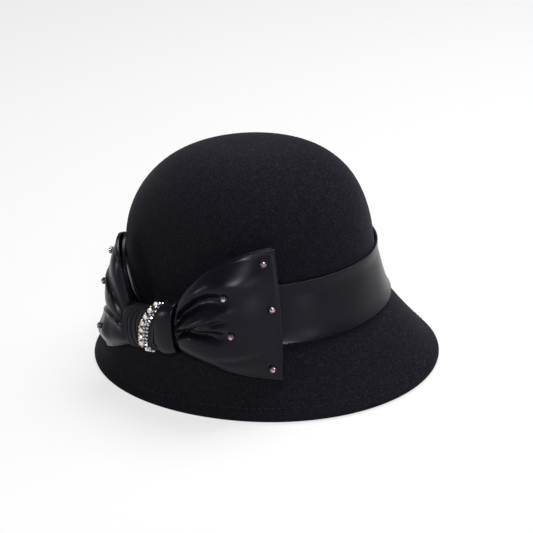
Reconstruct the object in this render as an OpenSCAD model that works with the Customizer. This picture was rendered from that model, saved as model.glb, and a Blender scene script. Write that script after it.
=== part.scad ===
// Felt hat with a rounded crown, a turned-down brim, a folded band and a large side bow.
// The front of the hat faces -Y, the wearer's right side is -X, and the brim rests on z = 0.
// Angles around the hat are in degrees from the front: 90 is the wearer's left, -90 the right.

/* [Head opening] */
// Front-to-back length of the oval inside the sweatband
head_length = 196.2; // [185:0.2:208]
// Side-to-side width of the oval inside the sweatband
head_width = 166.2; // [156:0.2:178]

/* [Felt hood] */
// Thickness of the felt
felt_thick = 2.2; // [1.8:0.1:3]
// Height of the crown above the break, where crown and brim meet
crown_height = 116.5; // [95:0.5:135]
// Height above the break at which the straight side turns into the dome
crown_side = 33.4; // [20:0.2:45]
// Inward lean of the crown side, in mm per mm of height
crown_taper = 0.216; // [0:0.002:0.3]
// Roundness of the dome seen from the side
dome_fullness = 2.11; // [1.8:0.01:2.6]
// Squareness of the dome's shoulder
dome_shoulder = 3; // [2:0.05:4]
// How far the top of the crown sits forward of the head opening
crown_forward = 6.8; // [0:0.2:12]

/* [Brim] */
// Reach of the brim past the band at the front
brim_front = 36; // [28:0.5:48]
// Reach of the brim past the band at each side
brim_side = 18.5; // [17:0.5:30]
// Reach of the brim past the band at the back
brim_back = 26; // [20:0.5:36]
// Height of the break above the plane that the brim edge rests on
brim_drop = 49.6; // [38:0.2:56]
// Width of the turned-under hem
hem_width = 13; // [10:0.5:18]
// Diameter of the wire inside the hem's fold
wire_d = 1.4; // [1:0.1:1.8]
// Distance of the hem's stitch line from the fold
stitch_inset = 10; // [7:0.5:12]
// Distance from one hem stitch to the next
stitch_pitch = 4.7; // [3.5:0.1:8]

/* [Sweatband] */
// Height of the sweatband
sweat_height = 29; // [22:1:33]
// Thickness of the sweatband ribbon
sweat_thick = 0.8; // [0.5:0.1:1.2]

/* [Band] */
// Height of the folded band around the crown
band_height = 42.4; // [30:0.2:52]
// Thickness of the folded band
band_thick = 1.6; // [1:0.1:2.2]
// How closely the band follows the slope of the crown's side, as a share of it
band_follow = 0.97; // [0.5:0.01:1]
// How much narrower the band is where the knot gathers it
band_pinch = 24; // [10:0.5:26]
// How far the gathers reach each way from the knot, in degrees around the hat
band_gather = 44; // [30:1:60]

/* [Bow] */
// Angle of the knot around the hat
knot_angle = -108.5; // [-125:0.5:-80]
// Height of the knot's centre above the break
knot_rise = 11.7; // [8:0.1:16]
// Rise of the knot towards the front of the hat, in mm per mm of width
knot_tilt = 0.17; // [0:0.01:0.25]
// Width of the knot along the band
knot_width = 46; // [42:1:50]
// Height of the knot
knot_height = 33.5; // [32:0.5:38]
// Depth of the knot, from the band outwards
knot_depth = 20.2; // [18:0.2:26]
// Thickness of the bow's folded ribbon
ribbon_thick = 1.3; // [0.9:0.1:1.6]
// Length of the front loop from the knot's centre, in degrees around the hat
front_loop_span = 48.5; // [42:0.5:58]
// Height of the front loop's top corner above the break
front_loop_top = 71.3; // [60:0.1:78]
// Depth of the front loop's bottom corner below the break
front_loop_dip = 20.6; // [12:0.2:26]
// Fullness of the front loop, where its outer ply stands away from the hat
front_loop_puff = 8.5; // [3:0.5:10]
// Length of the back loop from the knot's centre, in degrees around the hat
back_loop_span = 31; // [26:0.5:40]
// Height of the back loop's top corner above the break
back_loop_top = 65; // [52:0.5:70]
// Depth of the back loop's bottom corner below the break
back_loop_dip = 21; // [12:0.2:26]
// Fullness of the back loop
back_loop_puff = 5; // [2:0.5:8]
// How much deeper the back loop's end fold is near its bottom
back_loop_belly = 6; // [0:0.5:9]

/* [Trim] */
// Diameter of the crystals on the loops
loop_crystal_d = 4; // [3:0.1:5]
// Diameter of the large crystals on the knot
trim_crystal_d = 3.8; // [3:0.1:4.2]
// Number of large crystals on the knot
trim_crystals_n = 8; // [5:1:8]
// Diameter of the gold beads
gold_bead_d = 1.8; // [1.4:0.1:2.2]
// Diameter of the silver beads
silver_bead_d = 2.6; // [1.8:0.1:2.7]
// Width of the mesh tape that carries the stones
tape_width = 13; // [10:0.5:16]

/* [Hidden] */

// Clearances between neighbouring pieces
sweat_gap = 0.3;
band_gap = 0.4;
seat_gap = 0.15;
ply_gap = 0.3;

// Thread sizes
thread_d = 0.6;
stitch_fill = 0.72;

// Facets around the hat and around small sweeps
hat_steps = 60;
ring_steps = 20;
dome_steps = 12;
side_steps = 3;
brim_steps = 9;

// Half sizes of the felt and of the band at the break
felt_a = head_length / 2 + sweat_thick + sweat_gap + felt_thick;
felt_b = head_width / 2 + sweat_thick + sweat_gap + felt_thick;
band_a = felt_a + band_gap + band_thick;
band_b = felt_b + band_gap + band_thick;

// Reach of the brim around the hat: a mean, a front-to-back part and a side part
reach_mean = (brim_front + brim_back) / 4 + brim_side / 2;
reach_turn = (brim_front - brim_back) / 2;
reach_oval = (brim_front + brim_back) / 4 - brim_side / 2;

// Curve of the brim: how reach and drop grow from the break to the edge
reach_power = 1.127;
drop_power = 0.907;

// The hem folds around the wire; the fold has a narrow flat that the hat rests on
wire_play = 0.1;
fold_r = felt_thick + wire_d / 2 + wire_play;
fold_flat = 12;
hem_ply_gap = 0.3;

function mix(a, b, k) = a + (b - a) * k;
function clamp01(k) = max(0, min(1, k));
function unit(v) = v / norm(v);
function signed_pow(k, e) = sign(k) * pow(abs(k), e);

// A point at an angle around the hat, a height above the break and a distance out from the
// band's bottom edge
function at(th, z, off) = [
    (band_b + off) * sin(th), -(band_a + off) * cos(th), brim_drop + z];

// Triangles between n lines of m points; lines are joined end to end when closed
function net(n, m, closed, ring) = [
    for (i = [0 : n - (closed ? 1 : 2)], j = [0 : m - (ring ? 1 : 2)])
        let (a = i * m, b = ((i + 1) % n) * m, k = (j + 1) % m)
            each [[a + j, a + k, b + k], [a + j, b + k, b + j]]];

// Whether rings run clockwise seen along the way to the next ring, which turns faces inwards
function total(v) = [for (p = v) 1] * v;
function runs_back(rings) =
    let (a = rings[0], m = len(a), c = total(a) / m, d = total(rings[1]) / m - c)
        total([for (j = [0 : m - 1]) cross(a[j] - c, a[(j + 1) % m] - c)]) * d > 0;

function turned(faces, flip) = [for (f = faces) flip ? [for (j = [len(f) - 1 : -1 : 0]) f[j]] : f];

// End caps of a ring with one face, or of a folded strip whose points j and m-1-j face
// each other
function ring_cap(m, base) = [[for (j = [0 : m - 1]) base + j]];
function strip_cap(m, base) = [
    for (j = [0 : m / 2 - 2])
        let (a = base + j, b = base + j + 1, c = base + m - 2 - j, d = base + m - 1 - j)
            each [[a, b, c], [a, c, d]]];

// A solid through rings of equal count: closed on itself, or capped at both ends
module ring_loft(rings, closed) {
    n = len(rings);
    m = len(rings[0]);
    caps = closed ? [] : concat(turned(ring_cap(m, 0), true), ring_cap(m, (n - 1) * m));
    polyhedron(points = [for (r = rings) each r],
        faces = turned(concat(net(n, m, closed, true), caps), runs_back(rings)), convexity = 6);
}

// A solid through rings that are thin folded strips
module strip_loft(rings) {
    n = len(rings);
    m = len(rings[0]);
    caps = concat(turned(strip_cap(m, 0), true), strip_cap(m, (n - 1) * m));
    polyhedron(points = [for (r = rings) each r],
        faces = turned(concat(net(n, m, false, true), caps), runs_back(rings)), convexity = 8);
}

// Turns a child's Z axis to a direction at a place
module aim(place, dir) {
    d = unit(dir);
    translate(place) rotate([0, acos(d[2]), atan2(d[1], d[0])]) children();
}

// A short length of thread between two points
module thread_bar(p, q, d) {
    aim(p, q - p) cylinder(d = d, h = norm(q - p), $fn = 16);
}

// ---- Felt hood ----

function dome_share(z, h) =
    let (u = clamp01((z - crown_side) / (h - crown_side)))
        pow(max(0, 1 - pow(u, dome_fullness)), 1 / dome_shoulder);

// Crown surface at a depth below the outer face
function crown_at(th, z, depth) =
    let (h = crown_height - depth, inset = depth + crown_taper * min(z, crown_side),
        k = dome_share(z, h),
        lean = crown_forward * pow(max(0, z - band_height) / (crown_height - band_height), 1.5))
        [(felt_b - inset) * k * sin(th), -(felt_a - inset) * k * cos(th) - lean,
            brim_drop + z];

// Heights of the crown's rings, closer together towards the top
function crown_levels(depth) = concat(
    [for (i = [dome_steps - 1 : -1 : 0])
        mix(crown_side, crown_height - depth, sin(90 * pow(i / dome_steps, 0.9)))],
    [for (i = [side_steps - 1 : -1 : 1]) crown_side * i / side_steps]);

function reach(th) = reach_mean + reach_turn * cos(th) + reach_oval * cos(2 * th);

// Slope of the brim at its edge, in degrees below level
function edge_slope(th) = atan2(drop_power * brim_drop, reach_power * reach(th));

// Outer face of the brim in its own upright plane: [distance out, height], t from 0 to 1
function brim_face(th, t) =
    let (s = edge_slope(th), r = reach(th) - fold_r * (1 - sin(s)),
        z = brim_drop - fold_r * cos(fold_flat) - fold_r * cos(s),
        flare = (band_gap + band_thick) * (pow(1 - t, 8)))
        [r * pow(t, reach_power) - flare, -z * pow(t, drop_power)];

function brim_normal(th, t) =
    let (k = clamp01(t), a = brim_face(th, max(0.015, k - 0.01)),
        b = brim_face(th, min(1, max(0.015, k - 0.01) + 0.02)), d = unit(b - a))
        [-d[1], d[0]];

// A point of the brim's section at a depth below the outer face
function brim_at(th, t, depth) =
    let (p = brim_face(th, t) - depth * brim_normal(th, t)) at(th, p[1], p[0]);

// Length of the brim's section for one unit of t, near the edge
function brim_run(th) =
    norm([reach_power * reach(th), drop_power * brim_drop]);

// A point of the fold's round, at an angle from level
function fold_at(th, r, angle) =
    let (s = edge_slope(th), c = brim_face(th, 1) - fold_r * [sin(s), cos(s)])
        at(th, c[1] + r * sin(angle), c[0] + r * cos(angle));

// The whole section of the felt at one angle, from the crown's top, down the outside, round
// the hem and up the inside
function felt_section(th) =
    let (s = edge_slope(th), top = 90 - s, run = brim_run(th), hem_t = hem_width / run,
        ply = felt_thick + hem_ply_gap, pocket = fold_r - felt_thick)
        concat(
            [for (z = crown_levels(0)) crown_at(th, z, 0)],
            [for (i = [0 : brim_steps - 1]) brim_at(th, pow(i / brim_steps, 1.2), 0)],
            [for (i = [0 : 4]) fold_at(th, fold_r, mix(top, -90 + fold_flat, i / 4))],
            [for (i = [0 : 2]) fold_at(th, fold_r, mix(-90 - fold_flat, top - 180, i / 2))],
            [brim_at(th, 1 - hem_t * 0.45, ply + felt_thick)],
            [brim_at(th, 1 - hem_t, ply + felt_thick), brim_at(th, 1 - hem_t, ply)],
            [brim_at(th, 1 - hem_t * 0.4, ply)],
            [for (i = [0 : 3]) fold_at(th, pocket, mix(top - 180, top, i / 3))],
            [for (i = [brim_steps - 2 : -1 : 1])
                brim_at(th, pow(i / (brim_steps - 0.5), 1.2), felt_thick)],
            [for (i = [1 : side_steps - 1]) crown_at(th, crown_side * i / side_steps, felt_thick)],
            [for (i = [0 : dome_steps - 1])
                crown_at(th, mix(crown_side, crown_height - felt_thick,
                    sin(90 * pow(i / dome_steps, 0.9))), felt_thick)]);

module felt_hood() color([0.05, 0.05, 0.06]) {
    lines = [for (i = [0 : hat_steps - 1]) felt_section(360 * i / hat_steps)];
    m = len(lines[0]);
    last = hat_steps * m;
    points = concat([for (l = lines) each l],
        [crown_at(0, crown_height, 0), crown_at(0, crown_height - felt_thick, felt_thick)]);
    fans = [for (i = [0 : hat_steps - 1])
        let (a = i * m, b = ((i + 1) % hat_steps) * m)
            each [[last, a, b], [last + 1, b + m - 1, a + m - 1]]];
    polyhedron(points = points,
        faces = turned(concat(net(hat_steps, m, true, false), fans), true), convexity = 10);
}

module brim_wire() color([0.75, 0.75, 0.78]) {
    ring_loft([for (i = [0 : hat_steps - 1])
        let (th = 360 * i / hat_steps)
            [for (j = [0 : 5]) fold_at(th, wire_d / 2, 60 * j)]], true);
}

// A place on the hem's stitch line, lifted off the felt
function stitch_at(th, lift) = brim_at(th, 1 - (stitch_inset - fold_r) / brim_run(th), -lift);

module hem_stitching() color([0.1, 0.1, 0.11]) {
    around = 2 * PI * sqrt((pow(band_a + reach_mean, 2) + pow(band_b + brim_side, 2)) / 2);
    n = round(around / stitch_pitch);
    lift = thread_d / 2 + seat_gap;
    for (i = [0 : n - 1]) {
        p = stitch_at(360 * i / n, lift);
        q = stitch_at(360 * (i + stitch_fill) / n, lift);
        thread_bar(p, q, thread_d);
    }
}

// ---- Sweatband ----

sweat_start = 1.5;
sweat_overlap = 7;
sweat_step = sweat_thick + 0.2;

sweat_stitches = 60;
sweat_stitch = 3.2;
sweat_seam = 2.4;

// A point inside the crown, at an angle, a distance in from the sweatband's seat and a height
function inside_at(th, depth, z) = crown_at(th, z, felt_thick + sweat_gap + depth);

module sweatband() color([0.07, 0.07, 0.08]) {
    turn = 360 + sweat_overlap;
    n = hat_steps + 2;
    low = sweat_start;
    high = sweat_start + sweat_height;
    ring_loft([for (i = [0 : n])
        let (part = turn * i / n, th = 180 + part,
            in = sweat_step * clamp01((part - 360 + 4) / 4))
            [inside_at(th, in, low), inside_at(th, in, high),
                inside_at(th, in + sweat_thick, high), inside_at(th, in + sweat_thick, low)]], false);
}

module sweatband_stitching() color([0.12, 0.12, 0.13]) {
    z = sweat_start + sweat_seam;
    depth = sweat_thick + seat_gap + thread_d / 2;
    for (i = [1 : sweat_stitches - 1]) {
        th = 180 + sweat_overlap + (360 - 2 * sweat_overlap) * i / sweat_stitches;
        thread_bar(inside_at(th, depth, z), inside_at(th + sweat_stitch, depth, z), thread_d);
    }
}

// ---- Band ----

band_lift = 0.3;
band_edge = 0.35;

// Where its face bends on a narrowed stretch, as a share of the height there
band_bend = 0.7;

// How far each way from the knot the band stays at its narrowest, in degrees
band_hold = 12;

// The band's ends meet under the knot, where a few stitches on its back join them
join_gap = 0.4;
join_reach = 1.4;
join_step = 2.6;
join_tilt = 1;

// Height of the band's top edge, which the knot draws down
function band_top(th) =
    let (k = clamp01((abs(th - knot_angle) - band_hold) / (band_gather - band_hold)))
        band_height - band_pinch * (1 - k * k * (3 - 2 * k));

// The band's outer face, as a distance out from its bottom edge
function band_face(z) = -crown_taper * band_follow * min(crown_side, max(0, z));

module hat_band() color([0.04, 0.04, 0.045]) {
    lip = band_thick * band_edge;
    low = band_lift;
    half = 180 - join_gap / 2;
    ring_loft([for (i = [-hat_steps / 2 : hat_steps / 2])
        let (turn = half * i / (hat_steps / 2), th = knot_angle + 180 + turn,
            high = band_top(turn < 0 ? th : th - 360), bend = min(crown_side, high * band_bend))
            [at(th, low + lip, band_face(low) - band_thick),
                at(th, bend, band_face(bend) - band_thick),
                at(th, high - lip, band_face(high) - band_thick),
                at(th, high, band_face(high) - band_thick + lip),
                at(th, high, band_face(high) - lip),
                at(th, high - lip, band_face(high)),
                at(th, bend, band_face(bend)),
                at(th, low + lip, band_face(low)),
                at(th, low, band_face(low) - lip),
                at(th, low, band_face(low) - band_thick + lip)]], false);
}

module band_join_stitches() color([0.1, 0.1, 0.11]) {
    for (i = [1 : 3]) {
        z = band_top(knot_angle) - join_step * i;
        off = band_face(z) - band_thick - seat_gap - thread_d / 2;
        thread_bar(at(knot_angle - join_reach, z, off),
            at(knot_angle + join_reach, z - join_tilt, off), thread_d);
    }
}

// ---- Bow ----

// Millimetres along the knot's middle for one degree around the hat
arc_mm = (band_a + knot_depth / 2) * PI / 180;

knot_wall = 1.4;
knot_seat = 6;
pad_thick = 0.9;
pad_inset = 4;
pad_drop = 7;
pad_round = 0.8;
tape_thick = 0.8;
tape_lift = 0.2;
cuff_width = 13;
cuff_slant = 3.5;
cuff_wall = 1.3;
wrap_inset = 7.5;

// The cuff is turned over the tape's edge, so it stands further out than the wrap
cuff_in = tape_lift + tape_thick + seat_gap;
cuff_grow = cuff_in + cuff_wall;

// The knot's section is a rounded oval: angle 0 faces out, 90 up, 180 in to the band
knot_back = band_face(knot_rise - knot_seat) + pad_thick + 2 * seat_gap + cuff_grow;
knot_front = knot_depth - cuff_grow;
knot_half_depth = (knot_front - knot_back) / 2;
knot_mid = (knot_front + knot_back) / 2;
knot_square = 2.4;

// Height of the knot's centre above the break, at s mm along the band
function knot_centre(s) = knot_rise + knot_tilt * s;

// A point of the knot's section grown or shrunk by some amount, at s mm along the band
function knot_at(s, angle, grow) =
    let (off = knot_mid + (knot_half_depth + grow) * signed_pow(cos(angle), 2 / knot_square),
        z = knot_centre(s) + (knot_height / 2 + grow) * signed_pow(sin(angle), 2 / knot_square))
        at(knot_angle + s / arc_mm, z, off);

// A ring of the knot between two places along the band; the slant narrows it above and below
function knot_ring(from, to, share, slant, grow) = [
    for (j = [0 : ring_steps - 1])
        let (a = 360 * j / ring_steps, s = mix(from + slant * pow(sin(a), 2), to, share))
            knot_at(s, a, grow)];

// Distance of the hat's outside from the band's bottom edge, at an angle and a height
function hat_side(th, z) =
    z < 0
        ? let (t = pow(min(1, -z / brim_drop), 1 / drop_power)) reach(th) * pow(t, reach_power)
        : z < band_height ? band_face(z)
        : (felt_b - crown_taper * min(z, crown_side)) * dome_share(z, crown_height) - band_b;

// A loop's end is a round fold. It swings in at the corners by some degrees, and skew moves
// its top corner on and its bottom corner back
front_loop_fold = 2.5;
front_loop_swing = 0.5;
front_loop_skew = 0.7;
back_loop_fold = 5.2;
back_loop_swing = 3.6;
back_loop_skew = -0.6;
front_loop_mouth = 2.4;
back_loop_mouth = 1.1;
front_loop_close = 0.85;
back_loop_close = 0.45;

// A loop is [turn, span, top, dip, puff, fold, swing, skew, belly, mouth, close]: turn is its
// side of the knot, mouth is how far its neck has widened at the knot's edge, and close is how
// much of its fullness is gone at its top edge
front_loop = [1, front_loop_span, front_loop_top, front_loop_dip, front_loop_puff,
    front_loop_fold, front_loop_swing, front_loop_skew, 0, front_loop_mouth,
    front_loop_close];
back_loop = [-1, back_loop_span, back_loop_top, back_loop_dip, back_loop_puff,
    back_loop_fold, back_loop_swing, back_loop_skew, back_loop_belly, back_loop_mouth,
    back_loop_close];

// The loops leave the knot's middle, flare past its edge and end clear of the hat, with their
// top corners tucked in over the crown
loop_clear = 1.4;
neck_start = 0.6;
neck_margin = 0.5;
corner_tuck = 6.5;
inner_share = 0.5;

// How fast the loop opens from its neck, along its top, its bottom and outwards
top_start = 2.6;
top_power = 0.76;
low_start = 1.1;
low_power = 1.05;
swell_power = 0.8;
low_close = 0.5;

// Where across the loop its belly lies, and how wide it is
belly_at = -0.74;
belly_wide = 0.27;

// Soft pleats at the neck
pleat_deep = 1.6;
pleat_turn = 450;

// The gathered necks fill the knot, less its wall and the thread wound round them
thread_gauge = 0.8;
neck_room = knot_wall + 2 * ply_gap + thread_gauge;
neck_high = knot_height / 2 - neck_room - ribbon_thick / 2;
neck_deep = knot_half_depth - neck_room - ribbon_thick / 2;
loop_steps = 13;
width_steps = 12;

// Share of the loop that lies inside the knot
function knot_edge(loop) = (knot_width / 2 + neck_margin) / arc_mm / loop[1];

// How far past the knot a place on the loop is, from 0 at the knot's edge to 1 at the end
function past_knot(loop, p) =
    let (edge = knot_edge(loop)) clamp01((p - edge) / (1 - edge));

// How far the gathered neck has widened on its way to the knot's edge
function mouth_grow(loop, p) = loop[9] * pow(clamp01(p / knot_edge(loop)), 2);

// Length of the loop in degrees, from the knot's middle to the end
function loop_reach(loop, v) = loop[1] - loop[6] * v * v + loop[7] * v;

function loop_angle(loop, p, v) =
    knot_angle + loop[0] * (neck_start / arc_mm + loop_reach(loop, v) * p);

function loop_height(loop, p, v) =
    let (q = past_knot(loop, p), high = neck_high + mouth_grow(loop, p),
        rise = knot_centre(loop[0] * knot_width / 2 * clamp01(p / knot_edge(loop))),
        top = rise + high + (loop[2] - rise - high) * pow(1 - pow(1 - q, top_start), top_power),
        low = rise - high - (loop[3] + rise - high) * pow(1 - pow(1 - q, low_start), low_power))
        mix(low, top, (v + 1) / 2);

// Half the depth of the gathered neck inside the knot, an oval like the knot's
function neck_half(loop, p, v) = max((ribbon_thick + ply_gap) / 2,
    (neck_deep + mouth_grow(loop, p)) * pow(max(0, 1 - pow(abs(v), knot_square)), 1 / knot_square));

// Distance out of the inner ply, always clear of the hat
function inner_ply(loop, p, v) =
    let (q = past_knot(loop, p), th = loop_angle(loop, p, v), z = loop_height(loop, p, v),
        low = hat_side(th, loop_height(loop, p, -1)) + loop_clear,
        lean = mix(low, -corner_tuck, (v + 1) / 2) + inner_share * loop[4] * (1 - v * v))
        max(mix(knot_mid - neck_half(loop, p, v), lean, q), hat_side(th, z) + loop_clear);

// Pleats that run out from the knot and fade along the loop
function pleat(v, q) = pleat_deep * cos(v * pleat_turn) * 4 * q * pow(1 - q, 2);

// Depth of the end fold across the loop
function end_fold(loop, v) = loop[5] + loop[8] * exp(-pow((v - belly_at) / belly_wide, 2));

function outer_ply(loop, p, v) =
    let (q = past_knot(loop, p), end = inner_ply(loop, 1, v) + end_fold(loop, v),
        swell = loop[4] * sin(180 * pow(q, swell_power)) 
            * (1 - (v > 0 ? loop[10] : low_close) * v * v))
        max(mix(knot_mid + neck_half(loop, p, v), end, q) + swell + pleat(v, q),
            inner_ply(loop, p, v) + min(loop[5], ribbon_thick + ply_gap));

// The ribbon's path at one height of the loop: out along the outer ply, round the end fold
// and back along the inner ply, as [mm along, mm out, v]
function ribbon_path(loop, v) =
    let (out = outer_ply(loop, 1, v), in = inner_ply(loop, 1, v), r = (out - in) / 2,
        end = loop_reach(loop, v) * arc_mm)
        concat(
            [for (i = [0 : loop_steps]) let (p = i / loop_steps)
                [end * p, outer_ply(loop, p, v)]],
            [for (a = [45, 0, -45]) [end + r * cos(a), (out + in) / 2 + r * sin(a)]],
            [for (i = [loop_steps : -1 : 0]) let (p = i / loop_steps)
                [end * p, inner_ply(loop, p, v)]]);

// The path moved sideways by a distance
function beside(path, d) = [
    for (i = [0 : len(path) - 1])
        let (a = path[max(0, i - 1)], b = path[min(len(path) - 1, i + 1)], u = unit(b - a))
            path[i] + d * [-u[1], u[0]]];

function place_loop(loop, v, point) =
    let (end = loop_reach(loop, v) * arc_mm, p = clamp01(point[0] / end))
        at(knot_angle + loop[0] * (neck_start + point[0]) / arc_mm, loop_height(loop, p, v),
            point[1]);

function loop_section(loop, v) =
    let (path = ribbon_path(loop, v), half = ribbon_thick / 2, a = beside(path, half),
        b = beside(path, -half), n = len(path))
        concat([for (i = [0 : n - 1]) place_loop(loop, v, a[i])],
            [for (i = [n - 1 : -1 : 0]) place_loop(loop, v, b[i])]);

module bow_loop(loop) {
    rings = [for (i = [0 : width_steps])
        let (v = loop[0] * (1 - 2 * i / width_steps)) loop_section(loop, v)];
    strip_loft(rings);
}

module bow_front_loop() color([0.04, 0.04, 0.045]) bow_loop(front_loop);

module bow_back_loop() color([0.04, 0.04, 0.045]) bow_loop(back_loop);

module bow_backing() color([0.05, 0.05, 0.06]) {
    half = knot_width / 2 - pad_inset;
    high = knot_height / 2 - pad_drop;
    low = seat_gap;
    top = seat_gap + pad_thick;
    n = 10;
    ring_loft([for (i = [0 : n])
        let (s = mix(-half, half, i / n), e = high * sqrt(1 - pad_round * pow(s / half, 2)),
            th = knot_angle + s / arc_mm, a = knot_rise + e, b = max(band_lift, knot_rise - e))
            [at(th, a, band_face(a) + low), at(th, b, band_face(b) + low),
                at(th, b, band_face(b) + top), at(th, a, band_face(a) + top)]], false);
}

// Stitches inside the crown that hold each loop's back to the felt
tack_rise = 50;
tack_share = 0.6;
tack_step = 3;
tack_turn = 2;
tack_tilt = 0.6;

module bow_tack_stitches() color([0.1, 0.1, 0.11]) {
    depth = felt_thick + seat_gap + thread_d / 2;
    for (loop = [front_loop, back_loop], i = [-1 : 1]) {
        th = knot_angle + loop[0] * loop[1] * tack_share + i * tack_step;
        thread_bar(crown_at(th, tack_rise, depth), crown_at(th + tack_turn, tack_rise + tack_tilt, depth),
            thread_d);
    }
}

// The thread is wound four times round the gathered necks
thread_turns = [-3, -1.5, 1.5, 3];

module gather_thread() color([0.1, 0.1, 0.11]) {
    gauge = thread_gauge;
    grow = gauge / 2 + ply_gap;
    deep = neck_deep + ribbon_thick / 2 + grow;
    high = neck_high + ribbon_thick / 2 + grow;
    for (s = thread_turns) {
        ring_loft([for (i = [0 : ring_steps - 1])
            let (a = 360 * i / ring_steps)
                [for (j = [0 : 5])
                    let (u = gauge / 2 * cos(60 * j), w = gauge / 2 * sin(60 * j))
                        at(knot_angle + (s + w) / arc_mm,
                            knot_centre(s) + (high + u) * signed_pow(sin(a), 2 / knot_square),
                            knot_mid + (deep + u) * signed_pow(cos(a), 2 / knot_square))]],
            true);
    }
}

// ---- Knot ----

// A sleeve round the knot between two places along the band
module sleeve(from, to, slant, grow, wall, steps) {
    out = [for (i = [0 : steps]) knot_ring(from, to, i / steps, slant, grow)];
    back = [for (i = [steps : -1 : 0]) knot_ring(from, to, i / steps, slant, grow - wall)];
    ring_loft(concat(out, back), true);
}

module knot_wrap() color([0.04, 0.04, 0.045])
    sleeve(-knot_width / 2, knot_width / 2 - wrap_inset, 0, 0, knot_wall, 6);

module knot_cuff() color([0.04, 0.04, 0.045])
    sleeve(knot_width / 2 - cuff_width, knot_width / 2, cuff_slant, cuff_grow, cuff_wall, 4);

// ---- Trim on the knot ----

// How the trim crosses the knot: it stands back from the cuff's left edge, slants, leans to the
// cuff at the top and swings back below
tape_back = 9.7;
tape_shift = knot_width / 2 - cuff_width - tape_back;
tape_slant = 5;
tape_lean = 4.5;
tape_swing = 14;
swing_from = 0.5;

// How far round the knot the tape reaches each way, and where the first stone is, in degrees
tape_reach = 128;
stone_top = 84;

// Distances along and between the rows of stones
stone_pitch = 5.9;
crystal_row = -3.3;
silver_row = crystal_row + (trim_crystal_d + silver_bead_d) / 2 + seat_gap;
silver_rows = [silver_row, silver_row + silver_bead_d + seat_gap];
gold_shift = -1.5;

// How far along the band the trim lies at an angle round the knot
function trim_s(angle) =
    let (high = sin(angle))
        tape_shift + tape_slant * high + tape_lean * pow(max(0, high), 2)
            + tape_swing * max(0, -high - swing_from);

module trim_tape() color([0.15, 0.15, 0.16]) {
    n = 26;
    ring_loft([for (i = [0 : n])
        let (a = mix(-tape_reach, tape_reach, i / n), s = trim_s(a), w = tape_width / 2,
            low = tape_lift, high = tape_lift + tape_thick)
            [knot_at(s - w, a, low), knot_at(s - w, a, high), knot_at(s + w, a, high),
                knot_at(s + w, a, low)]], false);
}

// The direction that the knot's surface faces
function knot_face(s, angle) =
    unit(cross(knot_at(s, angle + 1, 0) - knot_at(s, angle - 1, 0),
        knot_at(s - 1, angle, 0) - knot_at(s + 1, angle, 0)));

// A place on the tape, some mm above it
function on_tape(s, angle, lift) =
    knot_at(trim_s(angle) + s, angle, 0)
        + (tape_lift + tape_thick + seat_gap + lift) * knot_face(trim_s(angle) + s, angle);

// A cut stone: a girdle under a crown that tapers to a flat table
girdle_share = 0.4;
table_share = 0.55;
trim_stone_share = 0.6;

module stone(d, high) {
    girdle = high * girdle_share;
    cylinder(d = d, h = girdle, $fn = 24);
    translate([0, 0, girdle])
        cylinder(d1 = d, d2 = d * table_share, h = high - girdle, $fn = 24);
}

// The angle reached after some mm down the row of stones
function walk(angle, left) =
    left <= 0 ? angle
    : walk(angle - 1, left - norm(on_tape(crystal_row, angle - 1, 0) - on_tape(crystal_row, angle, 0)));

function stone_angle(i) = walk(stone_top, i * stone_pitch);

module trim_crystals() color([0.9, 0.92, 0.95])
    for (i = [0 : trim_crystals_n - 1]) {
        a = stone_angle(i);
        aim(on_tape(crystal_row, a, 0), knot_face(trim_s(a) + crystal_row, a))
            stone(trim_crystal_d, trim_crystal_d * trim_stone_share);
    }

module trim_gold_beads() color([0.85, 0.65, 0.3])
    for (i = [0 : trim_crystals_n - 2])
        translate(on_tape(crystal_row + gold_shift, stone_angle(i + 0.5), gold_bead_d / 2))
            sphere(d = gold_bead_d, $fn = 24);

module trim_silver_beads() color([0.85, 0.86, 0.88])
    for (i = [0 : 2 * trim_crystals_n - 2], s = silver_rows)
        translate(on_tape(s, stone_angle(i / 2), silver_bead_d / 2))
            sphere(d = silver_bead_d, $fn = 18);

// ---- Crystals on the loops ----

// Places on the loops' outer plies, as [share along the loop, share across it]
front_spots = [[0.912, 0.83], [0.625, 0.445], [0.948, 0.145], [0.664, -0.235], [0.938, -0.82]];
back_spots = [[0.86, 0.8], [0.82, 0.25], [0.86, -0.6]];

claw_lift = 0.4;
claw_high = 1.1;
claw_wall = 0.4;
claw_floor = 0.4;
claw_play = 0.1;
claw_wide = 0.7;
claw_proud = 0.25;
claw_tip = 0.5;
stone_lift = 0.45;
stone_share = 0.55;

function outer_at(loop, p, v, lift) =
    let (end = loop_reach(loop, v) * arc_mm)
        place_loop(loop, v, [end * p, outer_ply(loop, p, v) + ribbon_thick / 2 + lift]);

function loop_face(loop, p, v) =
    let (d = 0.02) unit(loop[0] * cross(
        outer_at(loop, p - d, v, 0) - outer_at(loop, p + d, v, 0),
        outer_at(loop, p, v - d, 0) - outer_at(loop, p, v + d, 0)));

// Puts a child on a loop's outer ply, standing out from it
module on_loop(loop, spot, lift) {
    n = loop_face(loop, spot[0], spot[1]);
    aim(outer_at(loop, spot[0], spot[1], 0) + (claw_lift + lift) * n, n) children();
}

// A claw cup with a seat for the stone and four claws that stand up beside it
module claw_setting() {
    outside = loop_crystal_d / 2 + claw_play + claw_wall;
    difference() {
        cylinder(r = outside, h = claw_high, $fn = 24);
        translate([0, 0, claw_floor]) cylinder(r = outside - claw_wall, h = claw_high, $fn = 24);
    }
    for (a = [45 : 90 : 315])
        rotate([0, 0, a]) translate([outside - claw_wall, -claw_wide / 2, 0])
            cube([claw_wall + claw_proud, claw_wide, claw_high + claw_tip]);
}

module loop_settings(loop, spots) for (s = spots) on_loop(loop, s, 0) claw_setting();

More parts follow.
